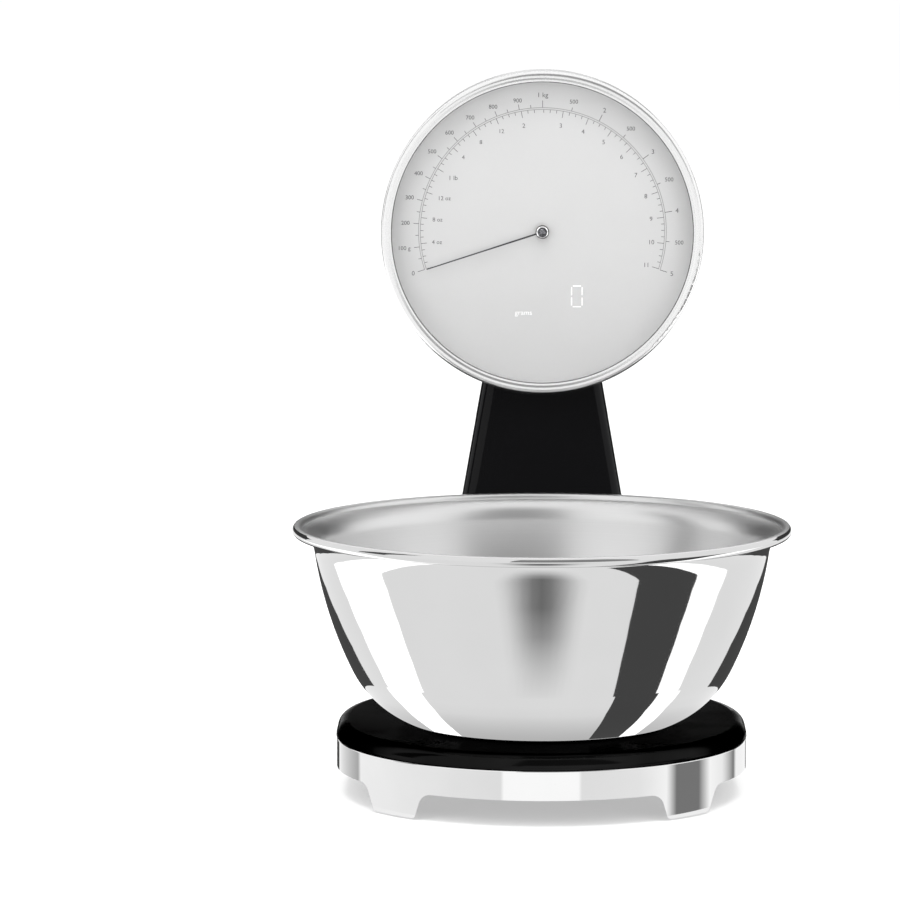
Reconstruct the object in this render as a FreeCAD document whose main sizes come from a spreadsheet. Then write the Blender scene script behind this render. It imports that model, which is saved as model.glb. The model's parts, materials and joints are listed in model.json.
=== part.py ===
import FreeCAD, Part
import math
import os
import types
import Sketcher

# Kitchen scale: an oval base with four feet, a black cover and column, a round head with a dial,
# and a loose mixing bowl. +Z is up, -Y is the front and the origin is under the middle of the
# footprint. "depth" is the distance behind the bowl's axis, so a piece's Y is bowl_axis_y + depth.
# All lengths are in millimetres.

Vector = FreeCAD.Vector

SIZES = [
    ("bowl_axis_y", -25.0, "Y of the bowl's axis"),
    ("bowl_wall", 0.8, "sheet thickness of the bowl"),
    ("bowl_seat_z", 35.5, "underside of the bowl, top of the weighing platform"),
    ("bowl_foot_radius", 65.0, "flat bottom of the bowl"),
    ("bowl_curve_radius", 82.2, "middle of the lower curve"),
    ("bowl_curve_z", 47.2, "middle of the lower curve"),
    ("bowl_waist_radius", 91.3, "end of the lower curve"),
    ("bowl_waist_z", 60.0, "end of the lower curve"),
    ("bowl_side_radius", 102.5, "middle of the side"),
    ("bowl_side_z", 88.0, "middle of the side"),
    ("bowl_neck_radius", 109.2, "top of the side, under the lip"),
    ("bowl_neck_z", 117.0, "top of the side, under the lip"),
    ("lip_middle_radius", 111.0, "middle of the flared lip"),
    ("lip_middle_z", 122.2, "middle of the flared lip"),
    ("lip_end_radius", 115.6, "end of the flared lip, inside the bead"),
    ("lip_end_z", 126.7, "end of the flared lip, inside the bead"),
    ("rim_radius", 120.0, "outside of the rolled bead"),
    ("bead_radius", 2.4, "radius of the rolled bead"),
    ("bead_z", 127.6, "height of the bead's middle"),
    ("base_length", 20.0, "straight length of the oval base"),
    ("ring_radius", 98.6, "end radius of the oval base"),
    ("ring_wall", 3.0, "wall of the ring"),
    ("ring_top", 27.1, "top edge of the ring"),
    ("ring_foot_z", 0.8, "underside of the metal feet"),
    ("foot_gap_z", 13.0, "lower edge of the ring between the feet"),
    ("foot_gap_top", 56.0, "half width of the front gap at its top"),
    ("foot_gap_bottom", 59.6, "half width of the front gap at the feet"),
    ("side_gap_top", 53.3, "reach of the side gap in front of the axis at its top"),
    ("side_gap_bottom", 59.0, "reach of the side gap in front of the axis at the feet"),
    ("gap_corner", 6.0, "rounded upper corners of the gaps"),
    ("foot_corner", 2.0, "rounded lower corners of the feet"),
    ("foot_depth", 14.0, "radial depth of a foot"),
    ("flange_low", 15.0, "underside of the ring's inner flange"),
    ("flange_high", 17.0, "top of the ring's inner flange"),
    ("flange_width", 20.6, "reach of the flange inwards from the ring's outside"),
    ("pad_radius", 3.8, "rubber pad under a foot"),
    ("pad_inset", 4.9, "pad's middle inside the foot's corner at the floor"),
    ("pad_height", 2.3, "height of a rubber pad"),
    ("plate_low", 13.0, "underside of the bottom plate"),
    ("cover_radius", 98.9, "end radius of the black cover"),
    ("cover_top", 34.5, "top of the black cover"),
    ("cover_wall", 2.6, "wall of the cover"),
    ("cover_round", 6.2, "rounded upper edge of the cover"),
    ("platform_hole", 61.0, "hole in the cover for the platform"),
    ("platform_radius", 60.0, "weighing platform"),
    ("platform_low", 33.0, "underside of the platform"),
    ("spider_low", 30.5, "underside of the spider"),
    ("cell_length", 80.0, "load cell"),
    ("cell_width", 12.7, "load cell"),
    ("cell_low", 17.0, "underside of the load cell"),
    ("cell_high", 29.7, "top of the load cell"),
    ("column_wall", 2.5, "wall of the column shells"),
    ("column_bottom", 34.5, "foot of the column"),
    ("column_middle", 120.0, "middle station of the column"),
    ("column_top", 200.0, "top station of the column, inside the head"),
    ("column_front_low", 86.0, "depth of the column's front at its foot"),
    ("column_front_middle", 120.0, "depth of the column's front at the middle"),
    ("column_front_top", 135.0, "depth of the column's front at the top"),
    ("column_rear_low", 103.0, "depth of the column's rear at its foot"),
    ("column_rear_middle", 146.0, "depth of the column's rear at the middle"),
    ("column_rear_top", 168.0, "depth of the column's rear at the top"),
    ("column_half_taper", 40.5, "half width where the straight taper starts"),
    ("column_taper_z", 126.0, "height where the straight taper starts"),
    ("column_half_top", 27.3, "half width at the top station"),
    ("column_corner", 7.0, "rounded long edges of the column"),
    ("post_width", 24.0, "steel post in the column"),
    ("post_half", 1.5, "half thickness of the steel post"),
    ("post_tab_top", 209.0, "top of the post's tab in the head"),
    ("clamp_z", 204.8, "height of the screws through the post's tab"),
    ("head_z", 260.2, "height of the dial's axis"),
    ("head_radius", 80.0, "outside of the head shell"),
    ("head_wall", 2.2, "wall of the head shell"),
    ("head_front", 128.0, "depth of the head shell's front flange"),
    ("head_back", 168.0, "depth of the head's back"),
    ("bezel_radius", 80.8, "outside of the bezel"),
    ("bezel_front", 122.5, "depth of the bezel's front"),
    ("window_radius", 75.8, "opening of the bezel"),
    ("lens_radius", 77.4, "glass"),
    ("lens_front", 125.0, "depth of the glass's front"),
    ("lens_thickness", 2.0, "glass"),
    ("dial_depth", 133.5, "depth of the dial's face"),
    ("dial_thickness", 1.0, "dial"),
    ("carrier_depth", 134.5, "depth of the dial carrier"),
    ("carrier_thickness", 2.5, "dial carrier"),
    ("boss_circle", 71.8, "circle of the head's bosses"),
    ("boss_radius", 6.2, "bosses of the head"),
    ("head_screw_circle", 70.0, "circle of the carrier and rear cover screws"),
    ("screw_radius", 1.25, "self tapping screws"),
    ("screw_head", 2.5, "heads of the self tapping screws"),
    ("arbor_radius", 1.5, "pointer arbor"),
    ("bush_clearance", 0.04, "radial clearance of the arbor in its bush"),
    ("bush_radius", 3.0, "brass bush"),
    ("pointer_length", 61.0, "tip of the pointer from its axis"),
    ("pointer_hub", 3.4, "hub of the pointer"),
    ("gear_depth", 138.6, "depth of the gears"),
    ("gear_thickness", 3.0, "gears"),
    ("gear_module", 0.8, "gear module"),
    ("motor_radius", 14.0, "stepper motor can"),
    ("motor_depth", 143.5, "depth of the motor's front"),
    ("motor_length", 14.5, "length of the motor can"),
    ("board_depth", 160.0, "depth of the main board"),
    ("board_thickness", 1.6, "main board"),
    ("cover_plate_depth", 165.5, "depth of the rear cover's inner face"),
    ("rear_cover_radius", 74.3, "rear cover"),
    ("button_radius", 5.0, "buttons"),
    ("button_x", 14.0, "buttons, to each side of the middle"),
    ("button_rise", 36.0, "buttons, above the dial's axis"),
    ("plunger_radius", 1.6, "plungers of the switches"),
    ("door_width", 47.4, "battery door"),
    ("door_height", 47.0, "battery door above its hinge"),
    ("door_drop", 49.0, "door hinge below the dial's axis"),
    ("door_thickness", 1.8, "battery door"),
    ("battery_radius", 5.2, "AAA cell"),
    ("battery_length", 43.5, "AAA cell without its nub"),
    ("battery_pitch", 11.4, "spacing of the cells"),
]

CELL_SCREWS = (24, 34)
MOTOR_EARS = (-17.5, 17.5)
CLAMP_SCREWS = (-8, 8)
POST_SCREWS = (-18, 18)
POINTER_TEETH = 48
PINION_TEETH = 16
POINTER_START = 198.0       # degrees from +X, counted from the front, where the scale's zero is


class Size:
    """A length together with the spreadsheet expression that it comes from."""

    def __init__(self, value, text):
        self.value = value
        self.text = text

    def __add__(self, other):
        return Size(self.value + number(other), f"({self.text} + {expression(other)})")

    def __sub__(self, other):
        return Size(self.value - number(other), f"({self.text} - {expression(other)})")

    def __mul__(self, other):
        return Size(self.value * number(other), f"({self.text} * {expression(other)})")

    def __truediv__(self, other):
        return Size(self.value / number(other), f"({self.text} / {expression(other)})")

    def __radd__(self, other):
        return self + other

    def __rsub__(self, other):
        return Size(number(other) - self.value, f"({expression(other)} - {self.text})")

    def __rmul__(self, other):
        return self * other

    def __neg__(self):
        return self * -1


def number(value):
    return value.value if isinstance(value, Size) else float(value)


def expression(value):
    return value.text if isinstance(value, Size) else f"({float(value):.6f})"


# The document and its spreadsheet.

doc = FreeCAD.newDocument("kitchen_scale")
sheet = doc.addObject("Spreadsheet::Sheet", "sizes")
for row, (alias, value, note) in enumerate(SIZES, start=1):
    sheet.set(f"A{row}", alias)
    sheet.set(f"B{row}", str(value))
    sheet.setAlias(f"B{row}", alias)
    sheet.set(f"C{row}", note)
doc.recompute()

S = types.SimpleNamespace(**{alias: Size(value, f"<<sizes>>.{alias}") for alias, value, note in SIZES})
PIECES = []
ALONG = {
    "X": FreeCAD.Rotation(Vector(0, 1, 0), 90),
    "Y": FreeCAD.Rotation(Vector(1, 0, 0), -90),
    "Z": FreeCAD.Rotation(),
}


def bind(thing, name, value):
    """Set a property, and tie it to the sheet where the value comes from there."""
    setattr(thing, name, number(value))
    if isinstance(value, Size):
        thing.setExpression(name, value.text)


def place(thing, x, y, z, rotation=None):
    """Put a thing at x, y, z, and tie each coordinate to the sheet where it comes from there."""
    base = Vector(number(x), number(y), number(z))
    thing.Placement = FreeCAD.Placement(base, rotation or FreeCAD.Rotation())
    for axis, value in zip("xyz", (x, y, z)):
        if isinstance(value, Size):
            thing.setExpression(f"Placement.Base.{axis}", value.text)
    return thing


def piece(label, thing):
    """Name a finished sub-part and keep it for export."""
    thing.Label = label
    PIECES.append(thing)
    return thing


# Part primitives and booleans. x is across, depth is behind the bowl's axis, z is up.

def cylinder(radius, length, x, depth, z, along="Z"):
    thing = doc.addObject("Part::Cylinder", "Cylinder")
    bind(thing, "Radius", radius)
    bind(thing, "Height", length)
    return place(thing, x, S.bowl_axis_y + depth, z, ALONG[along])


def torus(radius, wire, x, depth, z):
    thing = doc.addObject("Part::Torus", "Torus")
    bind(thing, "Radius1", radius)
    bind(thing, "Radius2", wire)
    return place(thing, x, S.bowl_axis_y + depth, z)


def block(width, length, height, x, depth, z):
    """A box whose middle is at x, whose front is at depth and whose underside is at z."""
    thing = doc.addObject("Part::Box", "Box")
    bind(thing, "Length", width)
    bind(thing, "Width", length)
    bind(thing, "Height", height)
    return place(thing, x - width / 2, S.bowl_axis_y + depth, z)


def fused(*things):
    result = doc.addObject("Part::MultiFuse", "Fuse")
    result.Shapes = list(things)
    result.Refine = True
    return result


def cut(base, *tools):
    result = doc.addObject("Part::Cut", "Cut")
    result.Base = base
    result.Tool = tools[0] if len(tools) == 1 else fused(*tools)
    return result


def common(*things):
    result = doc.addObject("Part::MultiCommon", "Common")
    result.Shapes = list(things)
    return result


def group(*things):
    result = doc.addObject("Part::Compound", "Group")
    result.Links = list(things)
    return result


def screw(x, depth, z, length, along="Z", head_length=1.4, turned=False):
    """A screw at the point where its head meets the work. Turned, it points backwards along its axis."""
    sign = -1 if turned else 1
    direction = {"Y": (0, 1, 0), "Z": (0, 0, 1)}[along]

    def rod(radius, first, second):
        low = min(sign * first, sign * second)
        spot = [middle + step * low for middle, step in zip((x, depth, z), direction)]
        return cylinder(radius, abs(second - first), *spot, along)

    solid = fused(rod(S.screw_radius, 0, length), rod(S.screw_head, -head_length, 0))
    return cut(solid, rod(1.0, -head_length, 0.8 - head_length))


# PartDesign bodies, sketches and features.

def new_body(x=0, y=S.bowl_axis_y, z=0):
    return place(doc.addObject("PartDesign::Body", "Body"), x, y, z)


def new_sketch(body, plane, offset=0):
    """A sketch on one of the body's own origin planes, moved along the plane's normal."""
    sketch = body.newObject("Sketcher::SketchObject", "Sketch")
    origin_plane = [f for f in body.Origin.OriginFeatures if f.Role == plane][0]
    sketch.AttachmentSupport = (origin_plane, "")
    sketch.MapMode = "FlatFace"
    sketch.AttachmentOffset = FreeCAD.Placement(Vector(0, 0, number(offset)), FreeCAD.Rotation())
    if isinstance(offset, Size):
        sketch.setExpression("AttachmentOffset.Base.z", offset.text)
    return sketch


def locate(sketch, geometry, position, x, y):
    """Fix a sketch point at x, y."""
    for kind, value, axis in (("DistanceX", x, -2), ("DistanceY", y, -1)):
        if abs(number(value)) < 1e-9:
            sketch.addConstraint(Sketcher.Constraint("PointOnObject", geometry, position, axis))
            continue
        rule = Sketcher.Constraint(kind, -1, 1, geometry, position, number(value))
        index = sketch.addConstraint(rule)
        if isinstance(value, Size):
            sketch.setExpression(f"Constraints[{index}]", value.text)


def flat(point):
    return Vector(number(point[0]), number(point[1]), 0)


def outline(sketch, start, *steps):
    """A closed outline. A step is (end,) for a line, or (middle, end) for an arc."""
    if number(steps[-1][-1][0]) != number(start[0]) or number(steps[-1][-1][1]) != number(start[1]):
        steps = steps + ((start,),)
    first = None
    previous = None
    here = start
    for step in steps:
        there = step[-1]
        if len(step) == 1:
            index = sketch.addGeometry(Part.LineSegment(flat(here), flat(there)), False)
            begin, end = 1, 2
        else:
            a, b, c = flat(here), flat(step[0]), flat(there)
            turns_left = (b - a).cross(c - b).z > 0
            arc = Part.Arc(a, b, c) if turns_left else Part.Arc(c, b, a)
            index = sketch.addGeometry(arc, False)
            begin, end = (1, 2) if turns_left else (2, 1)
            mark = sketch.addGeometry(Part.Point(b), True)
            sketch.addConstraint(Sketcher.Constraint("PointOnObject", mark, 1, index))
            locate(sketch, mark, 1, *step[0])
        if previous:
            sketch.addConstraint(Sketcher.Constraint("Coincident", previous[0], previous[1], index, begin))
        locate(sketch, index, begin, *here)
        first = first or (index, begin)
        previous = (index, end)
        here = there
    sketch.addConstraint(Sketcher.Constraint("Coincident", previous[0], previous[1], first[0], first[1]))


def circle(sketch, x, y, radius):
    index = sketch.addGeometry(Part.Circle(flat((x, y)), Vector(0, 0, 1), number(radius)), False)
    locate(sketch, index, 3, x, y)
    rule = sketch.addConstraint(Sketcher.Constraint("Radius", index, number(radius)))
    if isinstance(radius, Size):
        sketch.setExpression(f"Constraints[{rule}]", radius.text)


def oval(sketch, radius):
    """The base's plan: a half circle in front, a straight length, and a half circle behind."""
    length = S.base_length
    outline(sketch, (-radius, 0), ((0, -radius), (radius, 0)), ((radius, length),),
            ((0, radius + length), (-radius, length)))


def pad(body, sketch, length):
    feature = body.newObject("PartDesign::Pad", "Pad")
    feature.Profile = sketch
    bind(feature, "Length", length)
    return feature


def pocket(body, sketch, length):
    """Cut upwards from the sketch's plane, along its normal."""
    feature = body.newObject("PartDesign::Pocket", "Pocket")
    feature.Profile = sketch
    feature.Reversed = True
    bind(feature, "Length", length)
    return feature


def pocket_through(body, sketch):
    feature = body.newObject("PartDesign::Pocket", "Pocket")
    feature.Profile = sketch
    feature.Type = "ThroughAll"
    feature.SideType = "Symmetric"
    return feature


def revolve(body, sketch):
    """Turn a sketch once round its own vertical axis."""
    feature = body.newObject("PartDesign::Revolution", "Revolution")
    feature.Profile = sketch
    feature.ReferenceAxis = (sketch, ["V_Axis"])
    feature.Angle = 360.0
    return feature


def rounded(body, before, radius, chosen):
    """Fillet the edges of a feature that a test picks."""
    doc.recompute()
    names = [f"Edge{i}" for i, edge in enumerate(before.Shape.Edges, start=1) if chosen(edge)]
    feature = body.newObject("PartDesign::Fillet", "Fillet")
    feature.Base = (before, names)
    bind(feature, "Radius", radius)
    return feature


def lies_at(height, reach=0.0):
    """A test for edges that lie at one height, at least reach from the axis."""
    def test(edge):
        box = edge.BoundBox
        middle = edge.valueAt((edge.FirstParameter + edge.LastParameter) / 2)
        far = math.hypot(middle.x, middle.y) > number(reach)
        return far and abs(box.ZMin - number(height)) < 0.01 and abs(box.ZMax - number(height)) < 0.01
    return test


def inside(radius, height, angle):
    """The point one wall thickness inside a point of the bowl, whose outward normal dips by angle."""
    tilt = math.radians(angle)
    return (radius - S.bowl_wall * math.cos(tilt), height + S.bowl_wall * math.sin(tilt))


def make_bowl():
    """Spun steel bowl: a flat foot, two curves, a flared lip and a rolled bead."""
    body = new_body()
    wall = new_sketch(body, "XZ_Plane")
    outline(
        wall,
        (0, S.bowl_seat_z),
        ((S.bowl_foot_radius, S.bowl_seat_z),),
        ((S.bowl_curve_radius, S.bowl_curve_z), (S.bowl_waist_radius, S.bowl_waist_z)),
        ((S.bowl_side_radius, S.bowl_side_z), (S.bowl_neck_radius, S.bowl_neck_z)),
        ((S.lip_middle_radius, S.lip_middle_z), (S.lip_end_radius, S.lip_end_z)),
        (inside(S.lip_end_radius, S.lip_end_z, 53),),
        (inside(S.lip_middle_radius, S.lip_middle_z, 30), inside(S.bowl_neck_radius, S.bowl_neck_z, 9)),
        (inside(S.bowl_side_radius, S.bowl_side_z, 18), inside(S.bowl_waist_radius, S.bowl_waist_z, 26)),
        (inside(S.bowl_curve_radius, S.bowl_curve_z, 44), inside(S.bowl_foot_radius, S.bowl_seat_z, 90)),
        ((0, S.bowl_seat_z + S.bowl_wall),),
    )
    revolve(body, wall)
    bead = new_sketch(body, "XZ_Plane")
    circle(bead, S.rim_radius - S.bead_radius, S.bead_z, S.bead_radius)
    revolve(body, bead)
    piece("bowl", body)


def corner_arc(corner, first, second, radius):
    """Tangent points and middle of an arc that rounds the corner between two directions from it."""
    angle = first.getAngle(second)
    reach = radius / math.tan(angle / 2)
    bisector = (first + second).normalize()
    depth = radius * (1 / math.sin(angle / 2) - 1)
    arms = (first * 1.0, bisector, second * 1.0)
    return [(corner[0] + size * arm.x, corner[1] + size * arm.y)
            for arm, size in zip(arms, (reach, depth, reach))]


def foot_gap(sketch, centre, top, bottom):
    """The opening between two feet: it widens downwards, and its corners and the feet's are rounded."""
    low = S.ring_foot_z
    high = S.foot_gap_z
    side = Vector(number(bottom) - number(top), number(low) - number(high)).normalize()
    upper = corner_arc((top, high), Vector(-1, 0), side, S.gap_corner)
    lower = corner_arc((bottom, low), side * -1, Vector(1, 0), S.foot_corner)
    right = [(centre + x, z) for x, z in lower[::-1] + upper[::-1]]
    left = [(centre - x, z) for x, z in upper + lower]
    outline(
        sketch,
        (left[5][0], -1),
        ((right[0][0], -1),),
        (right[0],),
        (right[1], right[2]),
        (right[3],),
        (right[4], right[5]),
        (left[0],),
        (left[1], left[2]),
        (left[3],),
        (left[4], left[5]),
    )


def make_base_ring():
    """Cast ring: a thin wall with an inner flange, standing on four feet cast with it."""
    body = new_body()
    plan = new_sketch(body, "XY_Plane", S.ring_foot_z)
    oval(plan, S.ring_radius)
    oval(plan, S.ring_radius - S.flange_width)
    blank = pad(body, plan, S.ring_top - S.ring_foot_z)
    rounded(body, blank, 0.7, lies_at(S.ring_top, S.ring_radius - 1))
    upper = new_sketch(body, "XY_Plane", S.flange_high)
    oval(upper, S.ring_radius - S.ring_wall)
    pocket(body, upper, S.ring_top - S.flange_high)
    lower = new_sketch(body, "XY_Plane", S.ring_foot_z)
    oval(lower, S.ring_radius - S.foot_depth)
    pocket(body, lower, S.flange_low - S.ring_foot_z)
    front_gap = new_sketch(body, "XZ_Plane")
    foot_gap(front_gap, 0, S.foot_gap_top, S.foot_gap_bottom)
    pocket_through(body, front_gap)
    side_gap = new_sketch(body, "YZ_Plane")
    middle = S.base_length / 2
    foot_gap(side_gap, middle, S.side_gap_top + middle, S.side_gap_bottom + middle)
    pocket_through(body, side_gap)
    sockets = new_sketch(body, "XY_Plane", S.ring_foot_z)
    for x, y in foot_centres():
        circle(sockets, x, y, S.pad_radius)
    pocket(body, sockets, S.pad_height - S.ring_foot_z)
    holes = new_sketch(body, "XY_Plane", S.flange_low)
    for x, y in base_screw_places():
        circle(holes, x, y, S.screw_radius)
    notch_front = S.column_front_low
    notch_back = S.column_rear_low - 6
    outline(holes, (-27, notch_front), ((27, notch_front),), ((27, notch_back),), ((-27, notch_back),))
    pocket(body, holes, S.flange_high - S.flange_low)
    piece("base_ring", body)


def foot_centres():
    """Each foot stands on the ring between a front or rear gap and a side gap."""
    across = S.foot_gap_bottom + S.pad_inset
    along = S.side_gap_bottom + S.pad_inset
    return [(side * across, y) for side in (-1, 1) for y in (-along, S.base_length + along)]


def base_screw_places():
    """Six screws round the bottom plate."""
    circle_radius = S.ring_radius - S.foot_depth - 3.6
    across = circle_radius * math.sin(math.radians(62))
    along = circle_radius * math.cos(math.radians(62))
    places = []
    for side in (-1, 1):
        places += [(side * across, -along), (side * circle_radius, S.base_length / 2)]
        places += [(side * across, S.base_length + along)]
    return places


def cell_screw_places():
    """Two screws through the bottom plate into the load cell's fixed end."""
    return [(-x, 0) for x in CELL_SCREWS]


def post_screw_places():
    """Two screws through the bottom plate into the post's foot."""
    return [(x, station("middle")[0][0] - S.post_half - 12) for x in POST_SCREWS]


def make_foot_pads():
    pads = [cylinder(S.pad_radius, S.pad_height, x, y, 0) for x, y in foot_centres()]
    piece("foot_pads", group(*pads))


def make_bottom_plate():
    """Pressed steel plate under the ring's flange."""
    body = new_body()
    plan = new_sketch(body, "XY_Plane", S.plate_low)
    oval(plan, S.ring_radius - S.foot_depth - 0.3)
    for x, y in base_screw_places() + cell_screw_places() + post_screw_places():
        circle(plan, x, y, S.screw_radius)
    pad(body, plan, S.flange_low - S.plate_low)
    piece("bottom_plate", body)
    screws = [screw(x, y, S.plate_low, 13.0) for x, y in base_screw_places()]
    piece("bottom_screws", group(*screws))


def make_base_cover():
    """Glossy cover with a rounded edge, a round hole for the platform and a slot under the column."""
    body = new_body()
    plan = new_sketch(body, "XY_Plane", S.ring_top)
    oval(plan, S.cover_radius)
    blank = pad(body, plan, S.cover_top - S.ring_top)
    top = rounded(body, blank, S.cover_round, lies_at(S.cover_top))
    rounded(body, top, 0.8, lies_at(S.ring_top))
    hollow = new_sketch(body, "XY_Plane", S.ring_top)
    oval(hollow, S.cover_radius - 6.2)
    pocket(body, hollow, S.cover_top - S.ring_top - S.cover_wall)
    tongue = new_sketch(body, "XY_Plane", S.ring_top - 5)
    oval(tongue, S.ring_radius - S.ring_wall - 0.3)
    oval(tongue, S.ring_radius - S.ring_wall - 2.7)
    pad(body, tongue, 5.6)
    bosses = new_sketch(body, "XY_Plane", S.flange_high)
    for x, y in base_screw_places():
        circle(bosses, x, y, S.screw_radius * 2.6)
    pad(body, bosses, S.cover_top - S.cover_wall - S.flange_high + 0.5)
    openings = new_sketch(body, "XY_Plane", S.flange_high)
    circle(openings, 0, 0, S.platform_hole)
    low = S.column_front_low + S.column_wall
    high = S.column_rear_low - S.column_wall
    outline(openings, (-34, low), ((34, low),), ((34, high),), ((-34, high),))
    pocket(body, openings, 20)
    holes = new_sketch(body, "XY_Plane", S.flange_high)
    for x, y in base_screw_places():
        circle(holes, x, y, S.screw_radius)
    pocket(body, holes, 10)
    piece("base_cover", body)


def make_load_cell():
    """Aluminium bar cell with its figure-of-eight hole, spacers, screws and overload stop."""
    bar = block(S.cell_length, S.cell_width, S.cell_high - S.cell_low, 0, -S.cell_width / 2, S.cell_low)
    middle_z = (S.cell_low + S.cell_high) / 2
    through = S.cell_width + 2
    front = -through / 2
    eyes = [cylinder(4.2, through, x, front, middle_z, "Y") for x in (-7, 7)]
    slot = block(14, through, 3.0, 0, front, middle_z - 1.5)
    screw_lines = [side * x for side in (-1, 1) for x in CELL_SCREWS]
    ends = [cylinder(S.screw_radius, 20, x, 0, S.cell_low - 1, "Z") for x in screw_lines]
    piece("load_cell", cut(bar, *eyes, slot, *ends))
    low_spacer = block(20, S.cell_width, S.cell_low - S.flange_low, -29, -S.cell_width / 2, S.flange_low)
    low_holes = [cylinder(S.screw_radius, 6, x, y, S.flange_low - 2) for x, y in cell_screw_places()]
    piece("cell_base_spacer", cut(low_spacer, *low_holes))
    high_spacer = block(20, S.cell_width, S.spider_low - S.cell_high, 29, -S.cell_width / 2, S.cell_high)
    high_holes = [cylinder(S.screw_radius, 6, x, 0, S.cell_high - 2) for x in CELL_SCREWS]
    piece("cell_top_spacer", cut(high_spacer, *high_holes))
    base_screws = [screw(x, y, S.plate_low, 11.0) for x, y in cell_screw_places()]
    piece("cell_base_screws", group(*base_screws))
    top_screws = [screw(x, 0, S.platform_low, 8.0, turned=True) for x in CELL_SCREWS]
    piece("cell_top_screws", group(*top_screws))
    piece("overload_stop", cylinder(3.0, 1.2, 29, 0, S.flange_low))


def make_platform():
    """The spider on the cell's free end carries the round platform that the bowl stands on."""
    hub = block(22, 18, S.platform_low - S.spider_low, 29, -9, S.spider_low)
    long_arm = block(100, 10, S.platform_low - S.spider_low, 0, -5, S.spider_low)
    cross_arm = block(10, 100, S.platform_low - S.spider_low, 0, -50, S.spider_low)
    spider = fused(hub, long_arm, cross_arm)
    arm_ends = [(-45, 0), (45, 0), (0, -45), (0, 45)]
    drilled = arm_ends + [(x, 0) for x in CELL_SCREWS]
    drills = [cylinder(S.screw_radius, 12, x, y, S.spider_low - 4) for x, y in drilled]
    piece("platform_spider", cut(spider, *drills))
    disc = cylinder(S.platform_radius, S.bowl_seat_z - S.platform_low, 0, 0, S.platform_low)
    sinks = [cylinder(S.screw_head + 0.1, 2, x, y, S.bowl_seat_z - 1.5) for x, y in arm_ends]
    holes = [cylinder(S.screw_radius, 12, x, y, S.spider_low - 4) for x, y in arm_ends]
    clear = [cylinder(S.screw_head + 0.1, 1.5, x, 0, S.platform_low) for x in CELL_SCREWS]
    piece("weighing_platform", cut(disc, *sinks, *holes, *clear))
    screws = [screw(x, y, S.bowl_seat_z - 1.5, 3.4, head_length=1.3, turned=True) for x, y in arm_ends]
    piece("platform_screws", group(*screws))


def station(name, shift=0):
    """Three points (depth, z) of the column's front, rear or middle line, moved back by shift."""
    front = (S.column_front_low, S.column_front_middle, S.column_front_top)
    rear = (S.column_rear_low, S.column_rear_middle, S.column_rear_top)
    middle = tuple((a + b) / 2 for a, b in zip(front, rear))
    depths = {"front": front, "rear": rear, "middle": middle}[name]
    heights = (S.column_bottom, S.column_middle, S.column_top)
    return [(depth + shift, height) for depth, height in zip(depths, heights)]


def side_slab(front, rear, width):
    """A slab across the column whose side view lies between two curved lines."""
    sketch = doc.addObject("Sketcher::SketchObject", "SideView")
    place(sketch, 0, S.bowl_axis_y, 0, FreeCAD.Rotation(Vector(1, 1, 1), 120))
    outline(sketch, front[0], (rear[0],), (rear[1], rear[2]), (front[2],), (front[1], front[0]))
    slab = doc.addObject("Part::Extrusion", "Slab")
    slab.Base = sketch
    slab.DirMode = "Custom"
    slab.Dir = Vector(1, 0, 0)
    slab.Symmetric = True
    slab.Solid = True
    bind(slab, "LengthFwd", width)
    return slab


def front_slab(inset):
    """A slab along Y whose front view is the column's outline, moved in by inset.

    The straight taper runs down to an arc that is tangent to it and upright at the foot.
    """
    sketch = doc.addObject("Sketcher::SketchObject", "FrontView")
    place(sketch, 0, S.bowl_axis_y + S.column_rear_top + 20, 0, FreeCAD.Rotation(Vector(1, 0, 0), 90))
    slope = (S.column_half_taper - S.column_half_top) / (S.column_top - S.column_taper_z)
    lean = math.atan(number(slope))
    arc_height = S.column_taper_z - S.column_bottom
    foot_half = S.column_half_taper - inset + arc_height * math.tan(lean / 2)
    bulge_rise = arc_height * (math.sin(lean / 2) / math.sin(lean))
    bulge_inset = arc_height * ((1 - math.cos(lean / 2)) / math.sin(lean))
    foot = (foot_half, S.column_bottom)
    bulge = (foot_half - bulge_inset, S.column_bottom + bulge_rise)
    taper = (S.column_half_taper - inset, S.column_taper_z)
    top = (S.column_half_top - inset, S.column_top)
    outline(
        sketch,
        (-foot[0], foot[1]),
        (foot,),
        (bulge, taper),
        (top,),
        ((-top[0], top[1]),),
        ((-taper[0], taper[1]),),
        ((-bulge[0], bulge[1]), (-foot[0], foot[1])),
    )
    slab = doc.addObject("Part::Extrusion", "Slab")
    slab.Base = sketch
    slab.DirMode = "Custom"
    slab.Dir = Vector(0, -1, 0)
    slab.Solid = True
    bind(slab, "LengthFwd", S.column_rear_top + 20)
    return slab


def rounded_column(inset, corner):
    """The column's solid, inset by a wall, with its four long edges rounded."""
    blank = common(side_slab(station("front", inset), station("rear", -inset), 140), front_slab(inset))
    doc.recompute()
    edges = []
    for index, edge in enumerate(blank.Shape.Edges, start=1):
        if edge.BoundBox.ZLength > 20:
            edges.append((index, number(corner), number(corner)))
    result = doc.addObject("Part::Fillet", "Rounded")
    result.Base = blank
    result.Edges = edges
    return result


def make_column():
    """Two curved shells that meet on the column's middle line and end against the head."""
    head = cylinder(S.head_radius + 0.05, 60, 0, 120, S.head_z, "Y")
    shell = cut(rounded_column(0, S.column_corner),
                rounded_column(S.column_wall, S.column_corner - S.column_wall), head)
    front_half = side_slab(station("front", -30), station("middle"), 160)
    rear_half = side_slab(station("middle"), station("rear", 30), 160)
    piece("column_front", common(shell, front_half))
    copy = cut(rounded_column(0, S.column_corner),
               rounded_column(S.column_wall, S.column_corner - S.column_wall), head)
    piece("column_rear", common(copy, rear_half))


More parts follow.
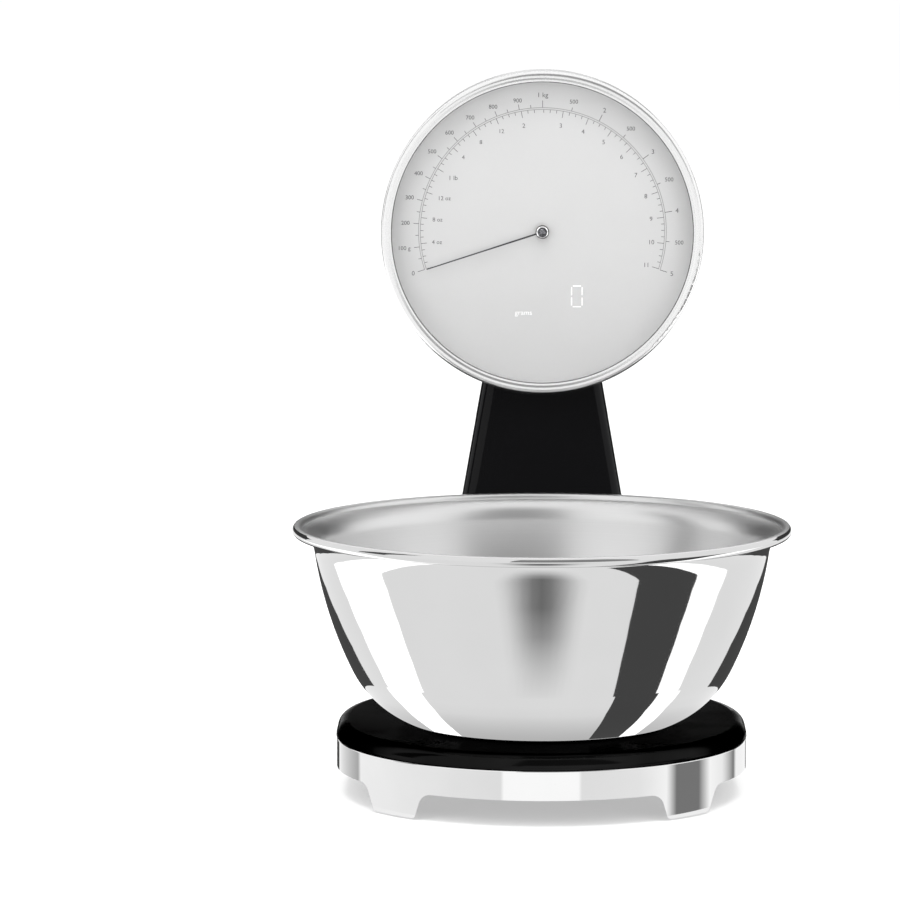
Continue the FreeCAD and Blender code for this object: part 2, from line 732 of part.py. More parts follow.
def make_post():
    """Bent steel strip: a foot on the bottom plate, a curve up the column and a tab in the head."""
    middle_top = station("middle")[2][0]
    front = station("middle", -S.post_half)
    rear = station("middle", S.post_half)
    strip = side_slab(front, rear, S.post_width)
    low_front = front[0][0]
    riser_height = S.column_bottom - S.flange_low + 0.5
    riser = block(S.post_width, S.post_half * 2, riser_height, 0, low_front, S.flange_low)
    foot = block(50, 24, 2.5, 0, low_front - 24 + 2 * S.post_half, S.flange_low)
    tab = block(S.post_width, S.post_half * 2, S.post_tab_top - S.column_top + 3, 0,
                middle_top - S.post_half, S.column_top - 3)
    foot_holes = [cylinder(S.screw_radius, 8, x, y, S.flange_low - 3) for x, y in post_screw_places()]
    tab_holes = [cylinder(S.screw_radius, 8, x, middle_top - 4, S.clamp_z, "Y") for x in CLAMP_SCREWS]
    piece("column_post", cut(fused(strip, riser, foot, tab), *foot_holes, *tab_holes))
    foot_screws = [screw(x, y, S.plate_low, 5.0) for x, y in post_screw_places()]
    piece("post_foot_screws", group(*foot_screws))
    plate = block(34, 2, 8.4, 0, middle_top - S.post_half - 2, S.clamp_z - 4.2)
    plate_holes = [cylinder(S.screw_radius, 8, x, middle_top - 6, S.clamp_z, "Y") for x in (-8, 8)]
    piece("head_clamp_plate", cut(plate, *plate_holes))
    tab_screws = [screw(x, middle_top - S.post_half - 2, S.clamp_z, 11.0, "Y") for x in (-8, 8)]
    piece("head_clamp_screws", group(*tab_screws))


def new_head_body():
    """A body whose own Y axis is the dial's axis."""
    return new_body(0, S.bowl_axis_y, S.head_z)


def boss_places(circle_radius):
    reach = circle_radius * math.sqrt(0.5)
    return [(x * reach, z * reach) for x in (-1, 1) for z in (-1, 1)]


def make_head_housing():
    """Deep drawn head shell with a front flange, a ledge for the rear cover and four bosses."""
    body = new_head_body()
    section = new_sketch(body, "XY_Plane")
    inner = S.head_radius - S.head_wall
    ledge = S.rear_cover_radius + 0.2
    outline(
        section,
        (S.window_radius + 0.1, S.head_front),
        ((S.head_radius, S.head_front),),
        ((S.head_radius, S.head_back - 4),),
        ((S.head_radius - 1.1, S.head_back - 1.1), (S.head_radius - 4, S.head_back)),
        ((ledge, S.head_back),),
        ((ledge, S.cover_plate_depth),),
        ((ledge - 3, S.cover_plate_depth),),
        ((ledge - 3, S.cover_plate_depth - 2),),
        ((inner, S.cover_plate_depth - 2),),
        ((inner, S.head_front + 2),),
        ((S.window_radius + 0.1, S.head_front + 2),),
    )
    revolve(body, section)
    boss_sketch = new_sketch(body, "XZ_Plane", -S.cover_plate_depth)
    for x, z in boss_places(S.boss_circle):
        circle(boss_sketch, x, z, S.boss_radius)
    pad(body, boss_sketch, S.cover_plate_depth - S.carrier_depth - S.carrier_thickness)
    holes = new_sketch(body, "XZ_Plane", -S.cover_plate_depth - 1)
    for x, z in boss_places(S.head_screw_circle):
        circle(holes, x, z, S.screw_radius)
    pocket(body, holes, 40)
    ribs = new_sketch(body, "XZ_Plane", -S.cover_plate_depth + 2)
    low = -S.head_radius + S.head_wall - 0.5
    for x in (-8, 8):
        outline(ribs, (x - 4, low), ((x + 4, low),), ((x + 4, low + 26),), ((x - 4, low + 26),))
    rib_depth = S.cover_plate_depth - 2 - station("middle")[2][0] - S.post_half
    pad(body, ribs, rib_depth)
    rib_holes = new_sketch(body, "XZ_Plane", -S.cover_plate_depth + 4)
    for x in (-8, 8):
        circle(rib_holes, x, S.clamp_z - S.head_z, S.screw_radius)
    pocket(body, rib_holes, 30)
    slot = new_sketch(body, "XY_Plane", -S.head_radius - 5)
    middle_top = station("middle")[2][0]
    outline(slot, (-18, middle_top - 10), ((18, middle_top - 10),), ((18, middle_top + 1.2),),
            ((-18, middle_top + 1.2),))
    pocket(body, slot, 12)
    piece("head_housing", body)


def make_bezel():
    """Polished bezel: a rounded outer edge, a flat face, a small inner step and a skirt over the shell."""
    body = new_head_body()
    section = new_sketch(body, "XY_Plane")
    front = S.bezel_front
    outer = S.bezel_radius
    window = S.window_radius
    outline(
        section,
        (window, front + 1.2),
        ((window + 0.9, front + 1.2),),
        ((window + 1.1, front + 0.2),),
        ((window + 1.9, front),),
        ((outer - 2.2, front),),
        ((outer - 0.62, front + 0.62), (outer, front + 2.2)),
        ((outer, front + 8.5),),
        ((S.head_radius + 0.05, front + 8.5),),
        ((S.head_radius + 0.05, S.head_front),),
        ((S.lens_radius + 0.2, S.head_front),),
        ((S.lens_radius + 0.2, S.lens_front),),
        ((window, S.lens_front),),
    )
    revolve(body, section)
    piece("bezel_ring", body)


def ring_part(label, outer, inner, depth, length):
    outside = cylinder(outer, length, 0, depth, S.head_z, "Y")
    piece(label, cut(outside, cylinder(inner, length + 2, 0, depth - 1, S.head_z, "Y")))


def make_window():
    piece("lens", cylinder(S.lens_radius, S.lens_thickness, 0, S.lens_front, S.head_z, "Y"))
    glass_back = S.lens_front + S.lens_thickness
    ring_part("lens_gasket", S.lens_radius, S.window_radius + 0.1, glass_back, S.head_front - glass_back)
    ring_part("dial_spacer_ring", S.head_radius - S.head_wall - 0.2, S.window_radius + 0.1,
              S.head_front + 2, S.dial_depth - S.head_front - 2)


def make_dial():
    """The printed dial and the carrier behind it, with its posts for the motor."""
    face = cylinder(S.lens_radius, S.dial_thickness, 0, S.dial_depth, S.head_z, "Y")
    piece("dial_face", cut(face, cylinder(S.bush_radius, 4, 0, S.dial_depth - 1, S.head_z, "Y")))
    depth = S.carrier_depth
    plate = cylinder(S.lens_radius, S.carrier_thickness, 0, depth, S.head_z, "Y")
    motor_z = S.head_z + gear_distance()
    posts = [cylinder(3.0, S.motor_depth - depth, x, depth, motor_z, "Y") for x in MOTOR_EARS]
    tools = [cylinder(S.bush_radius, 6, 0, depth - 1, S.head_z, "Y")]
    tools += [block(50, 6, 19, 2, depth - 1, S.head_z - 41.5)]
    tools += [block(24, 6, 34, side * 44, depth - 1, S.head_z - 17) for side in (-1, 1)]
    for x, z in boss_places(S.head_screw_circle):
        tools.append(cylinder(S.screw_radius, 6, x, depth - 1, S.head_z + z, "Y"))
        tools.append(cylinder(S.screw_head + 0.1, 1.5, x, depth - 0.1, S.head_z + z, "Y"))
    tools += [cylinder(S.screw_radius, 8, x, S.motor_depth - 5, motor_z, "Y") for x in MOTOR_EARS]
    piece("dial_carrier", cut(fused(plate, *posts), *tools))
    screws = [screw(x, depth + 1.4, S.head_z + z, 9.0, "Y", head_length=1.3)
              for x, z in boss_places(S.head_screw_circle)]
    piece("carrier_screws", group(*screws))
    module = block(49.4, 3.6, 18.4, 2, depth, S.head_z - 41.2)
    digits = [block(8, 1.0, 13.5, x, depth, S.head_z - 38.8) for x in (-15, -3.5, 8, 19.5)]
    piece("display_module", cut(module, *digits))


def gear_distance():
    return S.gear_module * (POINTER_TEETH + PINION_TEETH) / 2


def involute_gear(label, teeth, bore, x, z, phase):
    """A spur gear with involute flanks. One tooth points at the phase angle, seen from the front."""
    module = number(S.gear_module)
    pitch = module * teeth / 2
    pressure = math.radians(20)
    base = pitch * math.cos(pressure)
    tip = pitch + 0.88 * module
    root = pitch - 1.2 * module
    backlash = 0.11
    half_tooth = (math.pi * module / 2 - backlash) / (2 * pitch)
    roll = math.tan(pressure) - pressure

    def flank_angle(radius):
        turn = math.acos(min(1.0, base / radius))
        return half_tooth + roll - (math.tan(turn) - turn)

    def point(radius, angle):
        return Vector(radius * math.cos(angle), 0, radius * math.sin(angle))

    start = max(base, root + 0.05)
    radii = [start + (tip - start) * i / 4 for i in range(5)]
    edges = []
    for tooth in range(teeth):
        middle = math.radians(phase) + 2 * math.pi * tooth / teeth
        following = middle + 2 * math.pi / teeth
        rising = [point(root, middle - flank_angle(start))] if root < start - 1e-6 else []
        rising += [point(r, middle - flank_angle(r)) for r in radii]
        falling = [point(r, middle + flank_angle(r)) for r in reversed(radii)]
        falling += [point(root, middle + flank_angle(start))] if root < start - 1e-6 else []
        gap_middle = (middle + following) / 2
        next_start = point(root, following - flank_angle(start))
        corners = rising + falling
        edges += [Part.makeLine(a, b) for a, b in zip(corners, corners[1:])]
        edges.append(Part.Arc(corners[-1], point(root, gap_middle), next_start).toShape())
    profile = Part.Face(Part.Wire(Part.__sortEdges__(edges)))
    disc = profile.extrude(Vector(0, number(S.gear_thickness), 0))
    hole = Part.makeCylinder(number(bore), number(S.gear_thickness) + 2, Vector(0, -1, 0), Vector(0, 1, 0))
    gear = doc.addObject("Part::Feature", "Gear")
    gear.Shape = disc.cut(hole)
    place(gear, x, S.bowl_axis_y + S.gear_depth, z)
    return piece(label, gear)


def make_pointer_drive():
    """The arbor turns in its bush and carries the pointer in front and the gear behind."""
    depth = S.dial_depth
    bush_length = S.gear_depth - depth - 0.3
    bush = cylinder(S.bush_radius, bush_length, 0, depth - 0.4, S.head_z, "Y")
    bore = cylinder(S.arbor_radius + S.bush_clearance, bush_length + 2, 0, depth - 1.4, S.head_z, "Y")
    piece("arbor_bush", cut(bush, bore))
    arbor_front = S.lens_front + S.lens_thickness + 2.4
    arbor_length = S.gear_depth + 4 - arbor_front
    piece("pointer_arbor", cylinder(S.arbor_radius, arbor_length, 0, arbor_front, S.head_z, "Y"))
    involute_gear("pointer_gear", POINTER_TEETH, S.arbor_radius, 0, S.head_z, 90)
    motor_z = S.head_z + gear_distance()
    gap_down = 270 - 180 / PINION_TEETH
    involute_gear("motor_pinion", PINION_TEETH, S.arbor_radius * 0.8, 0, motor_z, gap_down)
    piece("motor_shaft", cylinder(S.arbor_radius * 0.8, 9, 0, S.gear_depth - 0.6, motor_z, "Y"))
    can = cylinder(S.motor_radius, S.motor_length, 0, S.motor_depth, motor_z, "Y")
    nose = cylinder(4.5, 1.5, 0, S.motor_depth - 1.5, motor_z, "Y")
    ears = block(42, 1.0, 7, 0, S.motor_depth, motor_z - 3.5)
    shaft_hole = cylinder(S.arbor_radius * 0.8 + S.bush_clearance, 9, 0, S.motor_depth - 2, motor_z, "Y")
    ear_holes = [cylinder(S.screw_radius, 3, x, S.motor_depth - 1, motor_z, "Y") for x in MOTOR_EARS]
    plug = block(12, 4, 7, 0, S.motor_depth + 8, motor_z + S.motor_radius - 2)
    piece("stepper_motor", cut(fused(can, nose, ears, plug), shaft_hole, *ear_holes))
    screws = [screw(x, S.motor_depth + 1.0, motor_z, 5.0, "Y", turned=True) for x in MOTOR_EARS]
    piece("motor_screws", group(*screws))


def make_pointer():
    """Thin tapered needle with a round hub, pointing at the scale's zero, and the cap over the hub."""
    angle = math.radians(POINTER_START)
    direction = Vector(math.cos(angle), 0, math.sin(angle))
    across = Vector(-math.sin(angle), 0, math.cos(angle))
    thickness = 0.6
    length = number(S.pointer_length)
    hub = number(S.pointer_hub)
    tip = direction * length
    root = across * 0.42
    point = across * 0.25
    corners = [root, tip + point, tip - point, root * -1]
    blade = Part.Face(Part.makePolygon(corners + corners[:1])).extrude(Vector(0, thickness, 0))
    disc = Part.makeCylinder(hub, thickness, Vector(0, 0, 0), Vector(0, 1, 0))
    hole = Part.makeCylinder(number(S.arbor_radius), thickness + 2, Vector(0, -1, 0), Vector(0, 1, 0))
    needle = doc.addObject("Part::Feature", "Needle")
    needle.Shape = blade.fuse(disc).removeSplitter().cut(hole)
    pointer_depth = S.lens_front + S.lens_thickness + 3.2
    place(needle, 0, S.bowl_axis_y + pointer_depth, S.head_z)
    piece("pointer", needle)
    dome = cylinder(S.pointer_hub - 0.3, 1.9, 0, pointer_depth - 1.9, S.head_z, "Y")
    socket = cylinder(S.arbor_radius, 1.2, 0, pointer_depth - 0.8, S.head_z, "Y")
    piece("pointer_cap", cut(dome, socket))


def make_electronics():
    """The main board on the rear cover's posts, and the two switches behind the buttons."""
    depth = S.board_depth
    board = block(84, S.board_thickness, 52, 0, depth, S.head_z + 8)
    chips = [block(16, 1.4, 16, -12, depth - 1.4, S.head_z + 30)]
    chips.append(block(9, 1.8, 6, 18, depth - 1.8, S.head_z + 44))
    chips.append(block(12, 4.5, 5, -24, depth - 4.5, S.head_z + 9))
    drills = [cylinder(S.screw_radius, 5, x, depth - 1, S.head_z + z, "Y") for x, z in board_posts()]
    piece("main_board", cut(fused(board, *chips), *drills))
    screws = [screw(x, depth, S.head_z + z, 4.6, "Y") for x, z in board_posts()]
    piece("board_screws", group(*screws))
    back = depth + S.board_thickness
    switches = []
    for side in (-1, 1):
        x = side * S.button_x
        z = S.head_z + S.button_rise
        base = block(6, 1.8, 6, x, back, z - 3)
        switches.append(cut(base, cylinder(S.plunger_radius + 0.05, 2, x, back + 0.4, z, "Y")))
    piece("button_switches", group(*switches))


def board_posts():
    return [(x, z) for x in (-37, 37) for z in (13, 55)]


def make_rear_cover():
    """Round rear cover with two button holes, the battery opening and its hinge sockets."""
    depth = S.cover_plate_depth
    thickness = S.head_back - depth
    plate = cylinder(S.rear_cover_radius, thickness, 0, depth, S.head_z, "Y")
    back = S.board_depth + S.board_thickness
    posts = [cylinder(3.2, depth - back + 0.5, x, back, S.head_z + z, "Y") for x, z in board_posts()]
    tools = [cylinder(S.screw_radius, 5, x, back - 1, S.head_z + z, "Y") for x, z in board_posts()]
    button_z = S.head_z + S.button_rise
    for side in (-1, 1):
        tools.append(cylinder(S.button_radius + 0.35, 8, side * S.button_x, depth - 2, button_z, "Y"))
    for x, z in boss_places(S.head_screw_circle):
        tools.append(cylinder(S.screw_radius, 6, x, depth - 1, S.head_z + z, "Y"))
        tools.append(cylinder(S.screw_head + 0.1, 2, x, S.head_back - 1.4, S.head_z + z, "Y"))
    hinge_z = S.head_z - S.door_drop
    tools.append(block(S.door_width + 0.6, 8, S.door_height + 1.6, 0, depth - 2, hinge_z - 1.3))
    tools.append(cylinder(0.75, S.door_width + 4, -S.door_width / 2 - 2, hinge_depth(), hinge_z, "X"))
    piece("rear_cover", cut(fused(plate, *posts), *tools))
    screws = [screw(x, S.head_back - 1.4, S.head_z + z, 9.0, "Y", head_length=1.3, turned=True)
              for x, z in boss_places(S.head_screw_circle)]
    piece("rear_cover_screws", group(*screws))


def hinge_depth():
    return S.head_back - 1.1


def make_buttons():
    """Two buttons held behind the rear cover, each with the switch plunger that it pushes in."""
    cap_front = S.cover_plate_depth - 0.7
    flange_front = S.cover_plate_depth - 1.1
    cap_length = S.head_back + 2 - cap_front
    plunger_length = 1.3
    for name, side in (("tare", -1), ("unit", 1)):
        x = side * S.button_x
        z = S.head_z + S.button_rise
        cap = cylinder(S.button_radius, cap_length, x, cap_front, z, "Y")
        flange = cylinder(S.button_radius + 1.3, 0.9, x, flange_front, z, "Y")
        dish = cylinder(S.button_radius - 1.4, 1, x, S.head_back + 1.6, z, "Y")
        piece(f"{name}_button", cut(fused(cap, flange), dish))
        plunger = cylinder(S.plunger_radius, plunger_length, x, flange_front - plunger_length, z, "Y")
        piece(f"{name}_plunger", plunger)


def make_battery_bay():
    """Open box behind the battery door, with four cells, their contacts and the hinged door."""
    hinge_z = S.head_z - S.door_drop
    inner_height = S.door_height
    wall = 1.5
    length = 13.0
    front = S.cover_plate_depth - length
    outer = block(S.door_width + 2 * wall, length, inner_height + 2 * wall, 0, front, hinge_z - wall)
    hollow = block(S.door_width - 0.4, length, inner_height, 0, front + wall, hinge_z)
    piece("battery_box", cut(outer, hollow))
    middle = front + wall + S.battery_radius + 0.2
    cells = []
    contacts = []
    for index in range(4):
        x = S.battery_pitch * (index - 1.5)
        nub_up = index % 2 == 0
        low = hinge_z + (2.1 if nub_up else 1.4)
        cell = cylinder(S.battery_radius, S.battery_length, x, middle, low)
        nub_z = low + S.battery_length if nub_up else low - 0.9
        cells.append(fused(cell, cylinder(1.9, 0.9, x, middle, nub_z)))
        spring_z = hinge_z + 0.8 if nub_up else hinge_z + inner_height - 0.8
        step = 0.55 if nub_up else -0.55
        for turn in range(2):
            contacts.append(torus(3.0 - 0.4 * turn, 0.26, x, middle, spring_z + step * turn))
        for level in (hinge_z, hinge_z + inner_height - 0.4):
            contacts.append(block(8, 8, 0.4, x, middle - 4, level))
    piece("batteries", group(*cells))
    piece("battery_contacts", group(*contacts))
    door_front = hinge_depth() - S.door_thickness / 2
    panel = block(S.door_width, S.door_thickness, S.door_height, 0, door_front, hinge_z)
    barrel = cylinder(S.door_thickness / 2, S.door_width, -S.door_width / 2, hinge_depth(), hinge_z, "X")
    pins = cylinder(0.7, S.door_width + 3, -S.door_width / 2 - 1.5, hinge_depth(), hinge_z, "X")
    ribs = [block(16, 0.6, 1.2, 0, door_front + S.door_thickness - 0.1, hinge_z + S.door_height - 5 - 2.6 * i)
            for i in range(3)]
    piece("battery_door", fused(panel, barrel, pins, *ribs))


def wire_route():
    """The wires leave the load cell, pass behind the platform, climb the column and reach the board."""
    rise = [(-8, number(depth) - 4.0, number(height)) for depth, height in climb_points()]
    cell_to_column = [(-36, 8.5, 23), (-36, 34, 22), (-30, 58, 20), (-18, 77, 20), (-9, 89.4, 26)]
    above_axis = [(-14, 143.5, -55.5), (-26, 145.5, -38.5), (-28, 146, -17.5), (-26, 147.5, 1.5)]
    above_axis.append((-24, 154.2, 11))
    head_to_board = [(x, depth, number(S.head_z) + rise_z) for x, depth, rise_z in above_axis]
    return cell_to_column + rise + head_to_board


def climb_points():
    """Points of the column's middle line at even heights, on the circle through its three stations."""
    points = [flat(point) for point in station("middle")]
    centre = Part.Arc(*points).toShape().Curve.Center
    radius = (points[0] - centre).Length
    side = 1 if points[1].x > centre.x else -1
    result = []
    for step in range(5):
        height = 40 + 36 * step
        depth = centre.x + side * math.sqrt(radius ** 2 - (height - centre.y) ** 2)
        result.append((depth, height))
    return result


def make_wires():
    """One sleeved bundle of wires, swept along straight runs joined by tangent arcs."""
    points = [Vector(x, number(S.bowl_axis_y) + depth, z) for x, depth, z in wire_route()]
    edges = []
    start = points[0]
    for before, corner, after in zip(points, points[1:], points[2:]):
        into = (corner - before).normalize()
        out = (after - corner).normalize()
        turn = into.getAngle(out)
        reach = 0.45 * min((corner - before).Length, (after - corner).Length)
        radius = reach / math.tan(turn / 2)
        entry = corner - into * reach
        leave = corner + out * reach
        inward = (out - into).normalize()
        centre = corner + inward * (radius / math.cos(turn / 2))
        middle = centre - inward * radius
        edges += [Part.makeLine(start, entry), Part.Arc(entry, middle, leave).toShape()]
        start = leave
    edges.append(Part.makeLine(start, points[-1]))
    path = Part.Wire(edges)
    first = (points[1] - points[0]).normalize()
    section = Part.Wire(Part.makeCircle(1.1, points[0], first))
    sleeve = doc.addObject("Part::Feature", "Sleeve")
    sleeve.Shape = path.makePipeShell([section], True, False)
    piece("wire_harness", sleeve)


def check_everything():
    """Every object has to be computed without a fault, and every sub-part has to be a valid solid."""
    doc.recompute()
    for thing in doc.Objects:
        if "Invalid" in thing.State or "Error" in thing.State:
            raise RuntimeError(f"{thing.Name} ({thing.Label}) failed: {thing.State}")
    for thing in PIECES:
        if thing.Shape.isNull() or not thing.Shape.isValid() or not thing.Shape.Solids:
            raise RuntimeError(f"{thing.Label} has no valid solid")


def export_everything():
    os.makedirs("parts", exist_ok=True)
    for thing in PIECES:
        thing.Shape.exportStep(f"parts/{thing.Label}.step")
        volume = sum(solid.Volume for solid in thing.Shape.Solids)
        print(f"{thing.Label}: {len(thing.Shape.Solids)} solids, {volume:.0f} mm3")


make_base_ring()
make_foot_pads()
make_bottom_plate()
make_base_cover()
make_load_cell()
make_platform()
make_bowl()
make_column()
make_post()
make_head_housing()
make_bezel()
make_window()
make_dial()
make_pointer_drive()
make_pointer()
make_electronics()
make_rear_cover()
make_buttons()
make_battery_bay()
make_wires()
check_everything()
export_everything()
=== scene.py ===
"""Kitchen scale: finishes, printed dial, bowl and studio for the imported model. Metres, z up, front at -y."""
import json
import math

import bmesh
import bpy
from mathutils import Matrix, Vector


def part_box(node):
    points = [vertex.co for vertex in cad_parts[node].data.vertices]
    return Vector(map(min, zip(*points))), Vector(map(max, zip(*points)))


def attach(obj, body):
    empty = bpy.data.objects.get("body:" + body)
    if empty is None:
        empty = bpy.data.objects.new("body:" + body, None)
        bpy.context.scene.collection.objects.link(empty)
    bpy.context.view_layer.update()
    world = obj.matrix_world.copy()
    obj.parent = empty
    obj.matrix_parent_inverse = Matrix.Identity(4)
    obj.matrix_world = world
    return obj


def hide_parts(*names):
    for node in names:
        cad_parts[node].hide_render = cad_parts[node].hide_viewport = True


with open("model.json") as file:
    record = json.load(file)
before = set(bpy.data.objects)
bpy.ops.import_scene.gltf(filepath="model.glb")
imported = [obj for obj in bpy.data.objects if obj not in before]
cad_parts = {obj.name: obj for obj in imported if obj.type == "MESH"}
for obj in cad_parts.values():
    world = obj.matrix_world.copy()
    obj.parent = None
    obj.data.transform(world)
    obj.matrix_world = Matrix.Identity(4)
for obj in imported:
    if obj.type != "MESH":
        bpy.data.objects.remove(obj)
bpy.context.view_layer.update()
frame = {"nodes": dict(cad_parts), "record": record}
nodes = frame["nodes"]
scene = bpy.context.scene

# ---------------------------------------------------------------- places taken from the model
BOWL_Y = -0.025
DIAL_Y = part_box("dial_face")[0].y
LENS_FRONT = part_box("lens")[0].y
HEAD_Z = (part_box("dial_face")[0].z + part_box("dial_face")[1].z) / 2


# ---------------------------------------------------------------- materials
def material(name):
    """A new node material, its Principled shader and its node tree."""
    made = bpy.data.materials.new(name)
    made.use_nodes = True
    tree = made.node_tree
    shader = next(n for n in tree.nodes if n.type == "BSDF_PRINCIPLED")
    return made, shader, tree


def noise(tree, scale, detail=3.0, stretch=(1, 1, 1)):
    """Noise in the object's own coordinates, stretched along the axes."""
    where = tree.nodes.new("ShaderNodeTexCoord")
    mapping = tree.nodes.new("ShaderNodeMapping")
    mapping.inputs["Scale"].default_value = stretch
    made = tree.nodes.new("ShaderNodeTexNoise")
    made.inputs["Scale"].default_value = scale
    made.inputs["Detail"].default_value = detail
    tree.links.new(where.outputs["Object"], mapping.inputs["Vector"])
    tree.links.new(mapping.outputs["Vector"], made.inputs["Vector"])
    return made.outputs["Fac"]


def ramp(tree, factor, low, high, start=0.3, end=0.7):
    """A smooth change from one colour or grey to another as the factor goes from start to end."""
    made = tree.nodes.new("ShaderNodeValToRGB")
    made.color_ramp.elements[0].position = start
    made.color_ramp.elements[1].position = end
    for element, value in zip(made.color_ramp.elements, (low, high)):
        element.color = (*value, 1) if hasattr(value, "__len__") else (value, value, value, 1)
    tree.links.new(factor, made.inputs["Fac"])
    return made.outputs["Color"]


def bump(tree, shader, height, strength, distance):
    """Bump the shader's normal with this height."""
    made = tree.nodes.new("ShaderNodeBump")
    made.inputs["Strength"].default_value = strength
    made.inputs["Distance"].default_value = distance
    tree.links.new(height, made.inputs["Height"])
    tree.links.new(made.outputs["Normal"], shader.inputs["Normal"])


def metal(name, colour, rough, rough_to, scale=60, grain=0.0, stretch=(1, 1, 1), tint=0.97):
    """Bare metal whose colour and roughness vary softly, with an optional fine grain in its surface."""
    made, shader, tree = material(name)
    shader.inputs["Metallic"].default_value = 1.0
    soft = noise(tree, scale, 3.0, stretch)
    darker = tuple(c * tint for c in colour)
    tree.links.new(ramp(tree, soft, darker, colour), shader.inputs["Base Color"])
    tree.links.new(ramp(tree, soft, rough, rough_to), shader.inputs["Roughness"])
    if grain:
        bump(tree, shader, noise(tree, scale * 20, 4.0, stretch), grain, 0.0001)
    return made


def plastic(name, colour, rough, rough_to, scale=900, grain=0.15, gloss=0.5, tint=0.9):
    """Moulded plastic, rubber or paint: fine grain, and a slow change of tone and gloss."""
    made, shader, tree = material(name)
    shader.inputs["Specular IOR Level"].default_value = gloss
    slow = noise(tree, 35, 2.0)
    darker = tuple(c * tint for c in colour)
    tree.links.new(ramp(tree, slow, darker, colour), shader.inputs["Base Color"])
    tree.links.new(ramp(tree, slow, rough, rough_to), shader.inputs["Roughness"])
    if grain:
        bump(tree, shader, noise(tree, scale, 4.0), grain, 0.0001)
    return made


def glass(name):
    """Clear acrylic sheet with the faintest haze."""
    made, shader, tree = material(name)
    shader.inputs["Base Color"].default_value = (1, 1, 1, 1)
    shader.inputs["Transmission Weight"].default_value = 1.0
    shader.inputs["IOR"].default_value = 1.03
    shader.inputs["Specular IOR Level"].default_value = 0.25
    tree.links.new(ramp(tree, noise(tree, 20), 0.0, 0.01), shader.inputs["Roughness"])
    return made


def lit(name, colour, strength):
    """The glow of a display segment, a little uneven as a diffused LED is."""
    made, shader, tree = material(name)
    shader.inputs["Base Color"].default_value = (0.1, 0.1, 0.1, 1)
    glow = ramp(tree, noise(tree, 400), tuple(c * 0.93 for c in colour), colour)
    tree.links.new(glow, shader.inputs["Emission Color"])
    shader.inputs["Emission Strength"].default_value = strength
    return made


FINISHES = {
    "bowl_steel": metal("steel_mirror", (0.70, 0.70, 0.70), 0.035, 0.05, 25),
    "ring_chrome": metal("chrome_plate", (0.86, 0.86, 0.86), 0.03, 0.05, 40),
    "black_gloss": plastic("black_lacquer", (0.006, 0.006, 0.007), 0.07, 0.11, 700, 0.02, 0.5),
    "black_matte": plastic("black_moulding", (0.02, 0.02, 0.021), 0.4, 0.5, 1500, 0.3),
    "rubber_dark": plastic("dark_rubber", (0.03, 0.03, 0.03), 0.7, 0.85, 2200, 0.5, 0.3),
    "plate_steel": metal("zinc_sheet", (0.63, 0.63, 0.63), 0.3, 0.45, 80, 0.1),
    "screw_steel": metal("screw_steel", (0.60, 0.60, 0.61), 0.22, 0.35, 300, 0.1),
    "cell_aluminium": metal("milled_aluminium", (0.80, 0.81, 0.82), 0.28, 0.4, 60, 0.25, (1, 12, 1)),
    "head_metal": metal("silver_head", (0.84, 0.84, 0.84), 0.2, 0.28, 50, 0.03),
    "bezel_chrome": metal("bezel_chrome", (0.93, 0.93, 0.93), 0.2, 0.27, 40),
    "clear_glass": glass("clear_lens"),
    "gasket_grey": plastic("gasket_rubber", (0.14, 0.14, 0.14), 0.6, 0.75, 1800, 0.4, 0.3),
    "dial_grey": plastic("dial_enamel", (0.63, 0.63, 0.63), 0.42, 0.5, 1600, 0.04, 0.3, tint=0.985),
    "carrier_white": plastic("white_moulding", (0.72, 0.72, 0.70), 0.38, 0.5, 1200, 0.2),
    "brass_plain": metal("brass", (0.80, 0.60, 0.28), 0.2, 0.32, 120, 0.1),
    "needle_metal": plastic("needle_paint", (0.035, 0.035, 0.037), 0.3, 0.4, 1500, 0.1),
    "cap_metal": metal("gunmetal_cap", (0.16, 0.16, 0.17), 0.16, 0.24, 300),
    "gear_plastic": plastic("acetal", (0.78, 0.77, 0.72), 0.35, 0.45, 1200, 0.15),
    "motor_metal": metal("motor_can", (0.66, 0.66, 0.66), 0.25, 0.38, 90, 0.1),
    "board_green": plastic("solder_mask", (0.02, 0.16, 0.06), 0.28, 0.4, 700, 0.2),
    "display_black": plastic("display_black", (0.02, 0.02, 0.022), 0.25, 0.35, 900, 0.1),
    "switch_black": plastic("switch_black", (0.03, 0.03, 0.03), 0.4, 0.5, 1200, 0.2),
    "cover_grey": plastic("grey_cover", (0.28, 0.28, 0.29), 0.42, 0.55, 1500, 0.35),
    "button_black": plastic("button_black", (0.02, 0.02, 0.02), 0.5, 0.6, 1800, 0.4),
    "cell_jacket": plastic("cell_jacket", (0.05, 0.18, 0.10), 0.3, 0.4, 500, 0.05, tint=0.8),
    "contact_steel": metal("contact_spring", (0.70, 0.70, 0.68), 0.2, 0.3, 200, 0.1),
    "sleeve_black": plastic("wire_sleeve", (0.03, 0.03, 0.035), 0.5, 0.65, 1500, 0.4),
}


